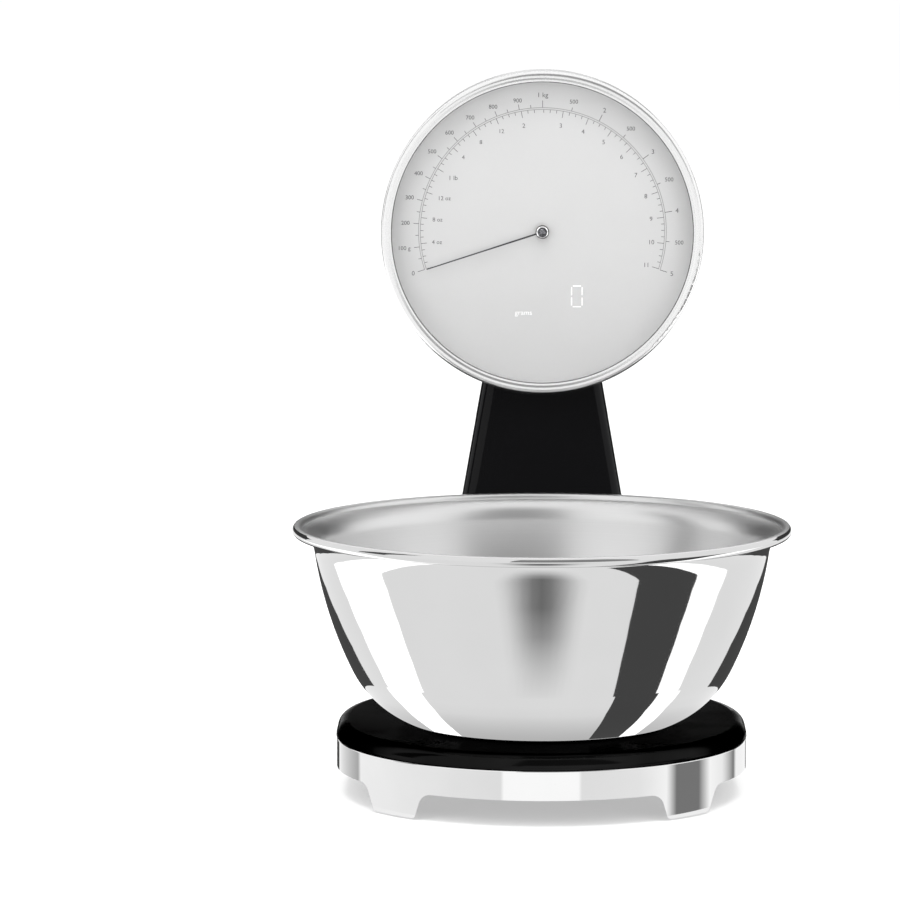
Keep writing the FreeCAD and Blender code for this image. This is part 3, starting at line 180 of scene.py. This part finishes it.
def turned_steel(name, colour, rough, rough_to):
    """Steel polished on a lathe: its fine lines run round the bowl's axis."""
    made, shader, tree = material(name)
    shader.inputs["Metallic"].default_value = 1.0
    where = tree.nodes.new("ShaderNodeTexCoord")
    apart = tree.nodes.new("ShaderNodeSeparateXYZ")
    tree.links.new(where.outputs["Object"], apart.inputs["Vector"])
    depth = tree.nodes.new("ShaderNodeMath")
    depth.operation = "SUBTRACT"
    depth.inputs[1].default_value = BOWL_Y
    tree.links.new(apart.outputs["Y"], depth.inputs[0])
    plan = tree.nodes.new("ShaderNodeCombineXYZ")
    tree.links.new(apart.outputs["X"], plan.inputs["X"])
    tree.links.new(depth.outputs["Value"], plan.inputs["Y"])
    radius = tree.nodes.new("ShaderNodeVectorMath")
    radius.operation = "LENGTH"
    tree.links.new(plan.outputs["Vector"], radius.inputs[0])
    ring = tree.nodes.new("ShaderNodeCombineXYZ")
    tree.links.new(radius.outputs["Value"], ring.inputs["X"])
    tree.links.new(apart.outputs["Z"], ring.inputs["Z"])
    lines = tree.nodes.new("ShaderNodeTexNoise")
    lines.inputs["Scale"].default_value = 2600
    lines.inputs["Detail"].default_value = 2.0
    tree.links.new(ring.outputs["Vector"], lines.inputs["Vector"])
    darker = tuple(c * 0.97 for c in colour)
    tree.links.new(ramp(tree, lines.outputs["Fac"], darker, colour), shader.inputs["Base Color"])
    tree.links.new(ramp(tree, lines.outputs["Fac"], rough, rough_to), shader.inputs["Roughness"])
    bump(tree, shader, lines.outputs["Fac"], 0.06, 0.00005)
    return made


STEEL_SATIN = turned_steel("steel_satin", (0.80, 0.80, 0.80), 0.3, 0.36)
COVER_BLACK = metal("cover_lacquer", (0.016, 0.016, 0.016), 0.1, 0.16, 30, tint=0.6)
COVER_BLACK.node_tree.nodes["Principled BSDF"].inputs["Specular Tint"].default_value = (0.09, 0.09, 0.09, 1)
COLUMN_BLACK = plastic("column_lacquer", (0.003, 0.003, 0.0035), 0.06, 0.1, 700, 0.01, 0.14)
PRINT = plastic("dial_ink", (0.10, 0.10, 0.105), 0.5, 0.6, 2500, 0.05, 0.3)
PRINT_LIGHT = plastic("dial_ink_light", (0.30, 0.30, 0.30), 0.5, 0.6, 2500, 0.05, 0.3)
LED_WHITE = lit("led_white", (1.0, 1.0, 1.0), 1.0)

slots = {s["node"]: s["material_slot"] for s in frame["record"]["subparts"]}
for node, slot in slots.items():
    mesh = nodes[node].data
    mesh.materials.clear()
    mesh.materials.append(FINISHES[slot])
nodes["base_cover"].data.materials[0] = COVER_BLACK
for node in ("column_front", "column_rear"):
    nodes[node].data.materials[0] = COLUMN_BLACK


# ---------------------------------------------------------------- mesh helpers
def piece(name, mesh, finishes, body, replaced=()):
    """A finished piece that rides on a body and the CAD nodes that it replaces."""
    made = bpy.data.objects.new(name, mesh)
    scene.collection.objects.link(made)
    for finish in finishes:
        mesh.materials.append(finish)
    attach(made, body)
    if replaced:
        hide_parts(*replaced)
    return made


def smooth(mesh, sharp=35):
    """Smooth shading, with edges sharper than this angle kept crisp."""
    for face in mesh.polygons:
        face.use_smooth = True
    mesh.set_sharp_from_angle(angle=math.radians(sharp))


def arc_points(first, middle, last, count):
    """Points on the circle through three points in a plane, from the first to the last."""
    (x1, y1), (x2, y2), (x3, y3) = first, middle, last
    a = x1 * (y2 - y3) - y1 * (x2 - x3) + x2 * y3 - x3 * y2
    b = (x1 * x1 + y1 * y1) * (y3 - y2) + (x2 * x2 + y2 * y2) * (y1 - y3) + (x3 * x3 + y3 * y3) * (y2 - y1)
    c = (x1 * x1 + y1 * y1) * (x2 - x3) + (x2 * x2 + y2 * y2) * (x3 - x1) + (x3 * x3 + y3 * y3) * (x1 - x2)
    centre = Vector((-b / (2 * a), -c / (2 * a)))
    spokes = [Vector(p) - centre for p in (first, middle, last)]
    turn = spokes[0].angle_signed(spokes[1]) + spokes[1].angle_signed(spokes[2])
    made = []
    for step in range(count + 1):
        made.append(tuple(centre + Matrix.Rotation(-turn * step / count, 2) @ spokes[0]))
    return made


def between(low, high, step, segments):
    """The corners of one face between two rings of points; a ring of one point is the middle."""
    after = (step + 1) % segments
    corners = [low[step % len(low)], low[after % len(low)]]
    corners += [high[after % len(high)], high[step % len(high)]]
    return list(dict.fromkeys(corners))


def lathe(name, profile, y, segments, finish_of):
    """A solid of revolution about the upright axis at y, from (radius, height) points in metres."""
    grid = bmesh.new()
    rings = []
    for radius, height in profile:
        if radius < 1e-6:
            rings.append([grid.verts.new((0, y, height))])
            continue
        ring = []
        for step in range(segments):
            angle = 2 * math.pi * step / segments
            ring.append(grid.verts.new((radius * math.sin(angle), y - radius * math.cos(angle), height)))
        rings.append(ring)
    for number, (low, high) in enumerate(zip(rings, rings[1:])):
        for step in range(segments):
            face = grid.faces.new(between(low, high, step, segments))
            face.material_index = finish_of(number)
    bmesh.ops.recalc_face_normals(grid, faces=grid.faces)
    mesh = bpy.data.meshes.new(name)
    grid.to_mesh(mesh)
    grid.free()
    smooth(mesh)
    return mesh


# ---------------------------------------------------------------- mixing bowl
def millimetres(*points):
    """(radius, height) points given in millimetres, in metres."""
    return [(r / 1000, z / 1000) for r, z in points]


WALL = 0.0008
BEAD = 0.0024
LOWER = arc_points(*millimetres((65, 35.5), (82.2, 47.2), (91.3, 60)), 20)
UPPER = arc_points(*millimetres((91.3, 60), (102.5, 88), (109.2, 117)), 30)
LIP = arc_points(*millimetres((109.2, 117), (111, 122.2), (115.6, 126.7)), 12)
outside = [(0.0, 0.0355), (0.05, 0.0355)] + LOWER + UPPER[1:] + LIP[1:]
inside = []
for number, (radius, height) in enumerate(outside[1:], 1):
    before = Vector(outside[number - 1])
    after = Vector(outside[min(number + 1, len(outside) - 1)])
    along = (after - before).normalized()
    inside.append((radius - along.y * WALL, height + along.x * WALL))
inside.insert(0, (0.0, 0.0355 + WALL))
bead = []
bead_centre = Vector((0.1176, 0.1276))
start = Vector(outside[-1]) - bead_centre
finish = Vector(inside[-1]) - bead_centre
first_angle = math.atan2(start.y, start.x)
last_angle = math.atan2(finish.y, finish.x)
sweep = (last_angle - first_angle) % (2 * math.pi)
for step in range(1, 24):
    angle = first_angle + sweep * step / 24
    bead.append((bead_centre.x + BEAD * math.cos(angle), bead_centre.y + BEAD * math.sin(angle)))
bowl_profile = outside + bead + inside[::-1]
bead_polished = 14
bowl_mesh = lathe("bowl_shell", bowl_profile, BOWL_Y, 360,
                  lambda number: 0 if number < len(outside) + bead_polished else 1)
piece("bowl_shell", bowl_mesh, [FINISHES["bowl_steel"], STEEL_SATIN], "bowl", ["bowl"])


# ---------------------------------------------------------------- printed dial
PRINT_LIFT = 0.00004
LED_LIFT = 0.00006
DIAL_START = 198
DIAL_END = -18


def dial_point(radius, angle, lift=PRINT_LIFT):
    """A point on the dial's face, in millimetres from its middle, counted as the front shows it."""
    turned = math.radians(angle)
    across = radius * math.cos(turned) / 1000
    up = radius * math.sin(turned) / 1000
    return Vector((across, DIAL_Y - lift, HEAD_Z + up))


def kilograms(value):
    """The dial angle of a weight: the first kilogram takes half of the scale."""
    if value <= 1:
        return DIAL_START + (90 - DIAL_START) * value
    return 90 + (DIAL_END - 90) / 4 * (value - 1)


def bar(grid, radius, end, angle, width):
    """One printed stroke along a spoke of the dial, all in millimetres."""
    side = math.degrees(width / 2 / radius)
    corners = [dial_point(radius, angle - side), dial_point(radius, angle + side),
               dial_point(end, angle + side * radius / end), dial_point(end, angle - side * radius / end)]
    grid.faces.new([grid.verts.new(c) for c in corners])


def arc_line(grid, radius, first, last, width):
    """One printed arc of the dial."""
    steps = 160
    inner, outer = [], []
    for step in range(steps + 1):
        angle = first + (last - first) * step / steps
        inner.append(grid.verts.new(dial_point(radius - width / 2, angle)))
        outer.append(grid.verts.new(dial_point(radius + width / 2, angle)))
    for step in range(steps):
        grid.faces.new((inner[step], inner[step + 1], outer[step + 1], outer[step]))


OUTER_LINE = 62.2
INNER_LINE = 61.3
strokes = bmesh.new()
for gram in range(0, 1001, 50):
    long = 2.7 if gram % 100 == 0 else 1.6
    if gram in (0, 1000):
        long = 3.6
    bar(strokes, OUTER_LINE, OUTER_LINE + long, kilograms(gram / 1000), 0.26)
for half in range(3, 11):
    bar(strokes, OUTER_LINE, OUTER_LINE + (3.6 if half % 2 == 0 else 1.8), kilograms(half / 2), 0.3)
POUND = 0.4536
for ounce in range(0, 35):
    long = 3.0 if ounce % 4 == 0 else 1.6
    if ounce % 16 == 0:
        long = 3.4
    bar(strokes, INNER_LINE, INNER_LINE - long, kilograms(ounce * POUND / 16), 0.26)
for quarter in range(9, 45):
    long = 3.4 if quarter % 4 == 0 else 1.6
    bar(strokes, INNER_LINE, INNER_LINE - long, kilograms(quarter * POUND / 4), 0.26)
strokes_mesh = bpy.data.meshes.new("dial_strokes")
strokes.to_mesh(strokes_mesh)
strokes.free()
piece("dial_strokes", strokes_mesh, [PRINT], "stand")

lines = bmesh.new()
arc_line(lines, OUTER_LINE, DIAL_START, DIAL_END, 0.28)
arc_line(lines, INNER_LINE, DIAL_START, DIAL_END, 0.28)
lines_mesh = bpy.data.meshes.new("dial_lines")
lines.to_mesh(lines_mesh)
lines.free()
piece("dial_lines", lines_mesh, [PRINT_LIGHT], "stand")


FIGURE_HEIGHT = 0.72


def lettering(name, labels, finish, lift=PRINT_LIFT):
    """Upright figures on the dial as one mesh: each has a text, a height in mm, and the place of its middle
    across and up from the dial's axis. FIGURE_HEIGHT is a figure's share of its font's size."""
    joined = bmesh.new()
    for text, size, across, up in labels:
        curve = bpy.data.curves.new("figure", "FONT")
        curve.body = text
        curve.size = 1.0
        curve.align_x = "CENTER"
        curve.align_y = "CENTER"
        curve.resolution_u = 3
        holder = bpy.data.objects.new("figure", curve)
        scene.collection.objects.link(holder)
        bpy.context.view_layer.update()
        flat = bpy.data.meshes.new_from_object(holder.evaluated_get(bpy.context.evaluated_depsgraph_get()))
        bpy.data.objects.remove(holder)
        bpy.data.curves.remove(curve)
        heights = [v.co.y for v in flat.vertices]
        middle = Matrix.Translation((0, -(max(heights) + min(heights)) / 2, 0))
        shrink = Matrix.Scale(size / FIGURE_HEIGHT / 1000, 4)
        stand = Matrix.Rotation(math.pi / 2, 4, "X")
        place = Matrix.Translation((across / 1000, DIAL_Y - lift, HEAD_Z + up / 1000))
        flat.transform(place @ stand @ shrink @ middle)
        joined.from_mesh(flat)
        bpy.data.meshes.remove(flat)
    mesh = bpy.data.meshes.new(name)
    joined.to_mesh(mesh)
    joined.free()
    return piece(name, mesh, [finish], "stand")


def round_dial(text, size, radius, value):
    """A label at a weight's angle on a circle of the dial."""
    turned = math.radians(kilograms(value))
    return text, size, radius * math.cos(turned), radius * math.sin(turned)


def beside(value, above, aside):
    """A label's radius: it stands nearer to the lines above the dial's middle than at its sides."""
    return above + (aside - above) * abs(math.cos(math.radians(kilograms(value))))


metric = [round_dial("0", 2.3, 68.2, 0.0), round_dial("1 kg", 2.4, 68.2, 1.0)]
metric.insert(1, round_dial("100 g", 2.1, 70.0, 0.1))
for hundred in range(2, 10):
    metric.append(round_dial(str(hundred * 100), 2.1, beside(hundred / 10, 66.5, 68.9), hundred / 10))
for kilogram in range(2, 6):
    metric.append(round_dial("500", 2.1, beside(kilogram - 0.5, 66.5, 68.9), kilogram - 0.5))
    metric.append(round_dial(str(kilogram), 2.4, 68.4, kilogram))
pounds = []
for ounce, radius in ((4, 53.2), (8, 53.0), (12, 52.0)):
    pounds.append(round_dial(f"{ounce} oz", 2.1, radius, ounce * POUND / 16))
    pounds.append(round_dial(str(ounce), 2.1, 54.5, (16 + ounce) * POUND / 16))
pounds.append(round_dial("1 lb", 2.3, 52.3, POUND))
for pound in range(2, 12):
    pounds.append(round_dial(str(pound), 2.3, beside(pound * POUND, 53.8, 54.9), pound * POUND))
lettering("dial_figures", metric + pounds, PRINT)


# ---------------------------------------------------------------- lit read-out behind the dial
def segment(grid, ends, width, lift):
    """One round-ended bar of the read-out between two (across, up) points in mm."""
    first, last = (Vector(p) for p in ends)
    along = (last - first).normalized()
    angle = math.atan2(along.y, along.x)
    outline = []
    for centre, begin in ((last, angle - math.pi / 2), (first, angle + math.pi / 2)):
        for step in range(9):
            turned = begin + math.pi * step / 8
            outline.append(centre + Vector((math.cos(turned), math.sin(turned))) * width / 2)
    corners = [grid.verts.new((p.x / 1000, DIAL_Y - lift, HEAD_Z + p.y / 1000)) for p in outline]
    grid.faces.new(corners)


LED_X = 17.4
LED_Z = -32.6
HALF_W = 2.65
HALF_H = 5.2
STROKE = 0.65
digit = bmesh.new()
for side in (-1, 1):
    reach = HALF_W - 0.85
    level = LED_Z + side * HALF_H
    segment(digit, ((LED_X - reach, level), (LED_X + reach, level)), STROKE, LED_LIFT)
    for half in (-1, 1):
        low = (LED_X + side * HALF_W, LED_Z + half * 0.8)
        high = (LED_X + side * HALF_W, LED_Z + half * (HALF_H - 0.8))
        segment(digit, (low, high), STROKE, LED_LIFT)
digit_mesh = bpy.data.meshes.new("readout_digit")
digit.to_mesh(digit_mesh)
digit.free()
piece("readout_digit", digit_mesh, [LED_WHITE], "stand")
lettering("readout_unit", [("grams", 2.6, -9.4, -41.6)], LED_WHITE, LED_LIFT)


# ---------------------------------------------------------------- round pieces about the dial's axis
def turned(name, profile, segments=128):
    """A closed (radius in mm, y in m) outline turned about the dial's axis; radius 0 closes the middle."""
    grid = bmesh.new()
    rings = []
    for radius, y in profile:
        if radius == 0:
            rings.append([grid.verts.new((0, y, HEAD_Z))])
            continue
        ring = []
        for step in range(segments):
            angle = 2 * math.pi * step / segments
            across = radius / 1000 * math.cos(angle)
            up = radius / 1000 * math.sin(angle)
            ring.append(grid.verts.new((across, y, HEAD_Z + up)))
        rings.append(ring)
    for low, high in zip(rings, rings[1:] + rings[:1]):
        if len(low) == 1 and len(high) == 1:
            continue
        for step in range(segments):
            grid.faces.new(between(low, high, step, segments))
    bmesh.ops.recalc_face_normals(grid, faces=grid.faces)
    mesh = bpy.data.meshes.new(name)
    grid.to_mesh(mesh)
    grid.free()
    smooth(mesh)
    return mesh


CAP_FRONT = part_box("pointer_cap")[0].y
CAP_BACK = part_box("pointer_cap")[1].y
ball = [(0, CAP_FRONT)]
for step in range(1, 9):
    angle = math.pi / 2 * step / 8
    ball.append((1.9 * math.sin(angle), CAP_FRONT + 0.0014 * (1 - math.cos(angle))))
ball += [(1.9, CAP_BACK), (0, CAP_BACK)]
ball_mesh = turned("cap_ball", ball, 64)
piece("cap_ball", ball_mesh, [FINISHES["cap_metal"]], "pointer", ["pointer_cap"])
collar = [(2.1, CAP_FRONT + 0.0012), (2.5, CAP_FRONT + 0.0008), (2.9, CAP_FRONT + 0.0010)]
collar += [(3.05, CAP_FRONT + 0.0014), (3.05, CAP_BACK), (2.1, CAP_BACK)]
piece("cap_collar", turned("cap_collar", collar, 64), [FINISHES["ring_chrome"]], "pointer")
EDGE_IN = 75.35
EDGE_OUT = 75.8
edge = [(EDGE_IN, LENS_FRONT - 0.0001), (EDGE_OUT, LENS_FRONT - 0.0003)]
edge += [(EDGE_OUT, LENS_FRONT), (EDGE_IN, LENS_FRONT)]
edge_mesh = turned("window_edge", edge, 256)
piece("window_edge", edge_mesh, [FINISHES["gasket_grey"]], "stand")

# ---------------------------------------------------------------- studio
scene.view_settings.view_transform = "Standard"
world = bpy.data.worlds.new("studio")
scene.world = world
world.use_nodes = True
world.node_tree.nodes["Background"].inputs["Color"].default_value = (1, 1, 1, 1)
world.node_tree.nodes["Background"].inputs["Strength"].default_value = 1.04


def card_glow(one_sided):
    """A card's glow, from the greys at its corners. A one-sided card can't be seen from behind."""
    made = bpy.data.materials.new("card_one_sided" if one_sided else "card")
    made.use_nodes = True
    tree = made.node_tree
    tree.nodes.clear()
    grey = tree.nodes.new("ShaderNodeAttribute")
    grey.attribute_name = "grey"
    glow = tree.nodes.new("ShaderNodeEmission")
    tree.links.new(grey.outputs["Fac"], glow.inputs["Strength"])
    out = tree.nodes.new("ShaderNodeOutputMaterial")
    if not one_sided:
        tree.links.new(glow.outputs["Emission"], out.inputs["Surface"])
        return made
    side = tree.nodes.new("ShaderNodeNewGeometry")
    clear = tree.nodes.new("ShaderNodeBsdfTransparent")
    mixed = tree.nodes.new("ShaderNodeMixShader")
    tree.links.new(side.outputs["Backfacing"], mixed.inputs["Fac"])
    tree.links.new(glow.outputs["Emission"], mixed.inputs[1])
    tree.links.new(clear.outputs["BSDF"], mixed.inputs[2])
    tree.links.new(mixed.outputs["Shader"], out.inputs["Surface"])
    return made


CARD = card_glow(False)
CARD_ONE_SIDED = card_glow(True)


def card(name, corners, greys, faces=None, one_sided=False):
    """A studio card that only polished surfaces see: it lights nothing and shades nothing."""
    mesh = bpy.data.meshes.new(name)
    mesh.from_pydata([Vector(c) for c in corners], [], faces or [list(range(len(corners)))])
    levels = greys if hasattr(greys, "__len__") else [greys] * len(corners)
    grey = mesh.attributes.new("grey", "FLOAT", "POINT")
    grey.data.foreach_set("value", levels)
    made = bpy.data.objects.new(name, mesh)
    scene.collection.objects.link(made)
    mesh.materials.append(CARD_ONE_SIDED if one_sided else CARD)
    made.visible_camera = False
    made.visible_diffuse = False
    made.visible_transmission = False
    made.visible_shadow = False
    made.visible_volume_scatter = False
    return made


FAN_RADIUS = 130


def fan(name, first, last, near, far, height, shade, one_sided=False, spread=0.0):
    """A flat card round the bowl's axis, between two bearings in degrees (0 is the front, + is right) and
    two radii in mm. shade gives its grey, from a bearing and a radius. Bearings hold at FAN_RADIUS and open
    out with the radius to the power of spread."""
    columns = max(2, math.ceil((last - first) / 3))
    rows = 6
    corners = []
    greys = []
    for row in range(rows + 1):
        radius = near * (far / near) ** (row / rows)
        for column in range(columns + 1):
            bearing = first + (last - first) * column / columns
            opened = bearing * (radius / FAN_RADIUS) ** spread
            turned_by = math.radians(max(-180, min(180, opened)))
            out = radius / 1000
            corners.append((out * math.sin(turned_by), BOWL_Y - out * math.cos(turned_by), height / 1000))
            greys.append(shade(bearing, radius))
    faces = []
    for row in range(rows):
        for column in range(columns):
            low = row * (columns + 1) + column
            high = low + columns + 1
            faces.append((low, high, high + 1, low + 1))
    return card(name, corners, greys, faces, one_sided)


floor_mesh = bpy.data.meshes.new("floor")
floor_mesh.from_pydata([(-20, -20, 0), (20, -20, 0), (20, 20, 0), (-20, 20, 0)], [], [(0, 1, 2, 3)])
floor = bpy.data.objects.new("floor", floor_mesh)
scene.collection.objects.link(floor)
paper, paper_shader, paper_tree = material("white_paper")
paper_shader.inputs["Roughness"].default_value = 1.0
paper_shader.inputs["Specular IOR Level"].default_value = 0.0
paper_tone = ramp(paper_tree, noise(paper_tree, 30), (0.965, 0.965, 0.965), (0.975, 0.975, 0.975))
paper_tree.links.new(paper_tone, paper_shader.inputs["Base Color"])
floor_mesh.materials.append(paper)
floor.visible_glossy = False

# What the polished steel sees: a pale table, with flags and strips fanned out round the base. The lower
# bowl sees their inner ends at the level of the base's top, and the rest of each on the floor.
BASE_TOP = 35.4
OVER_BASE = (34, 104)
ON_FLOOR = (118, 900)
SPREAD_OVER_BASE = 0.8
SPREAD_ON_FLOOR = 0.25
fan("table", -180, 180, 10, 4000, 0.5, lambda bearing, radius: 1.0)


def foot_shade(bearing, radius):
    """The table over the base is darker close to the bowl's foot."""
    return min(1.0, 0.45 + 0.55 * max(0.0, radius - 58) / 30)


fan("table_over_base", -180, 180, 58, OVER_BASE[1], BASE_TOP, foot_shade, True)
stripes = [("right_flag", 34, 58, 0.075), ("right_strip", 58, 73, 1.7), ("left_strip", -87, -60, 1.8)]
for name, first, last, level in stripes:
    fan(name, first, last, *ON_FLOOR, 2, lambda bearing, radius: level, False, SPREAD_ON_FLOOR)
    over = BASE_TOP + 0.4
    fan(name + "_inner", first, last, *OVER_BASE, over, lambda bearing, radius: level, True, SPREAD_OVER_BASE)
for name, first, last in (("right_back", 102, 175), ("left_back", -175, -104)):
    fan(name, first, last, *ON_FLOOR, 2, lambda bearing, radius: 0.07, False, SPREAD_ON_FLOOR)

GAP_HALF = 15


def gap_shade(bearing, radius):
    """The soft dark card in front: dark along its middle, and as pale as the table near the base and at its
    sides."""
    across = (1 - (bearing / GAP_HALF) ** 2) ** 2
    along = min(1.0, max(0.0, radius - ON_FLOOR[0]) / 110)
    return 1.0 - 0.8 * across * along


fan("front_gap", -GAP_HALF, GAP_HALF, ON_FLOOR[0], 600, 1.5, gap_shade, False, 0.35)

# A low screen close round the front of the base gives the ring its panels: a plain pale sheet with one
# brighter panel in the middle, two dark posts on the right and a grey edge on the left (angle, grey).
PANEL = 12
POST = 0.2
SCREEN_RADIUS = 0.107
SCREEN_HEIGHT = 0.027
screen = [(-95, 1.0), (-70, 0.45), (-68, 1.0), (-PANEL, 0.85), (1 - PANEL, 1.1)]
screen += [(PANEL - 1, 1.1), (PANEL, 0.85), (30, 0.9), (40, 1.05), (44, POST), (54, POST)]
screen += [(60, 1.05), (68, 0.95), (78, POST), (81, 1.0), (105, 1.0)]
screen_points = []
screen_greys = []
for (first, first_grey), (last, last_grey) in zip(screen, screen[1:]):
    steps = max(1, round((last - first) / 3))
    for step in range(steps):
        share = step / steps
        turned_by = math.radians(first + (last - first) * share)
        for height in (0.0, SCREEN_HEIGHT):
            across = SCREEN_RADIUS * math.sin(turned_by)
            screen_points.append((across, BOWL_Y - SCREEN_RADIUS * math.cos(turned_by), height))
            screen_greys.append(first_grey + (last_grey - first_grey) * share)
screen_faces = [(2 * n, 2 * n + 2, 2 * n + 3, 2 * n + 1) for n in range(len(screen_points) // 2 - 1)]
card("ring_screen", screen_points, screen_greys, screen_faces)


def sky_card(name, left, right, low, high, grey, distance=2.0):
    """A card far off, between two bearings and two elevations in degrees (bearing 0 is the front)."""
    corners = []
    for bearing, rise in ((left, low), (right, low), (right, high), (left, high)):
        turned, up = math.radians(bearing), math.radians(rise)
        corners.append((distance * math.cos(up) * math.sin(turned),
                        BOWL_Y - distance * math.cos(up) * math.cos(turned),
                        0.15 + distance * math.sin(up)))
    return card(name, corners, grey)


sky_card("dark_front", -14, 44, 9, 62, 0.3)
sky_card("dark_left", -90, -74, 4, 50, 0.1)
sky_card("dark_behind", 130, 230, -2, 14, 0.05, 0.9)


def lamp(name, place, target, size, power):
    """A soft lamp aimed at a point, which polished surfaces don't mirror."""
    data = bpy.data.lights.new(name, "AREA")
    data.shape = "RECTANGLE"
    data.size, data.size_y = size
    data.energy = power
    made = bpy.data.objects.new(name, data)
    scene.collection.objects.link(made)
    made.location = place
    made.rotation_euler = (Vector(target) - Vector(place)).to_track_quat("-Z", "Y").to_euler()
    made.visible_glossy = False
    return made


lamp("overhead", (0, -0.4, 2.4), (0, 0, 0.1), (2.2, 2.2), 50)
lamp("front_left", (-1.6, -1.8, 1.4), (0, 0, 0.15), (1.0, 1.4), 5)
lamp("front_right", (1.6, -1.8, 1.2), (0, 0, 0.15), (1.0, 1.4), 4)

# ---------------------------------------------------------------- camera
DISTANCE = 2.6
HEIGHT = math.radians(6.81)
AIM_Z = 0.1656
lens = bpy.data.cameras.new("camera")
lens.lens = 216.76
lens.sensor_width = 36
lens.clip_end = 100
camera = bpy.data.objects.new("camera", lens)
scene.collection.objects.link(camera)
camera.location = (0, BOWL_Y - DISTANCE * math.cos(HEIGHT), AIM_Z + DISTANCE * math.sin(HEIGHT))
aim = Vector((-0.0441, BOWL_Y, AIM_Z))
camera.rotation_euler = (aim - camera.location).to_track_quat("-Z", "Y").to_euler()
scene.camera = camera
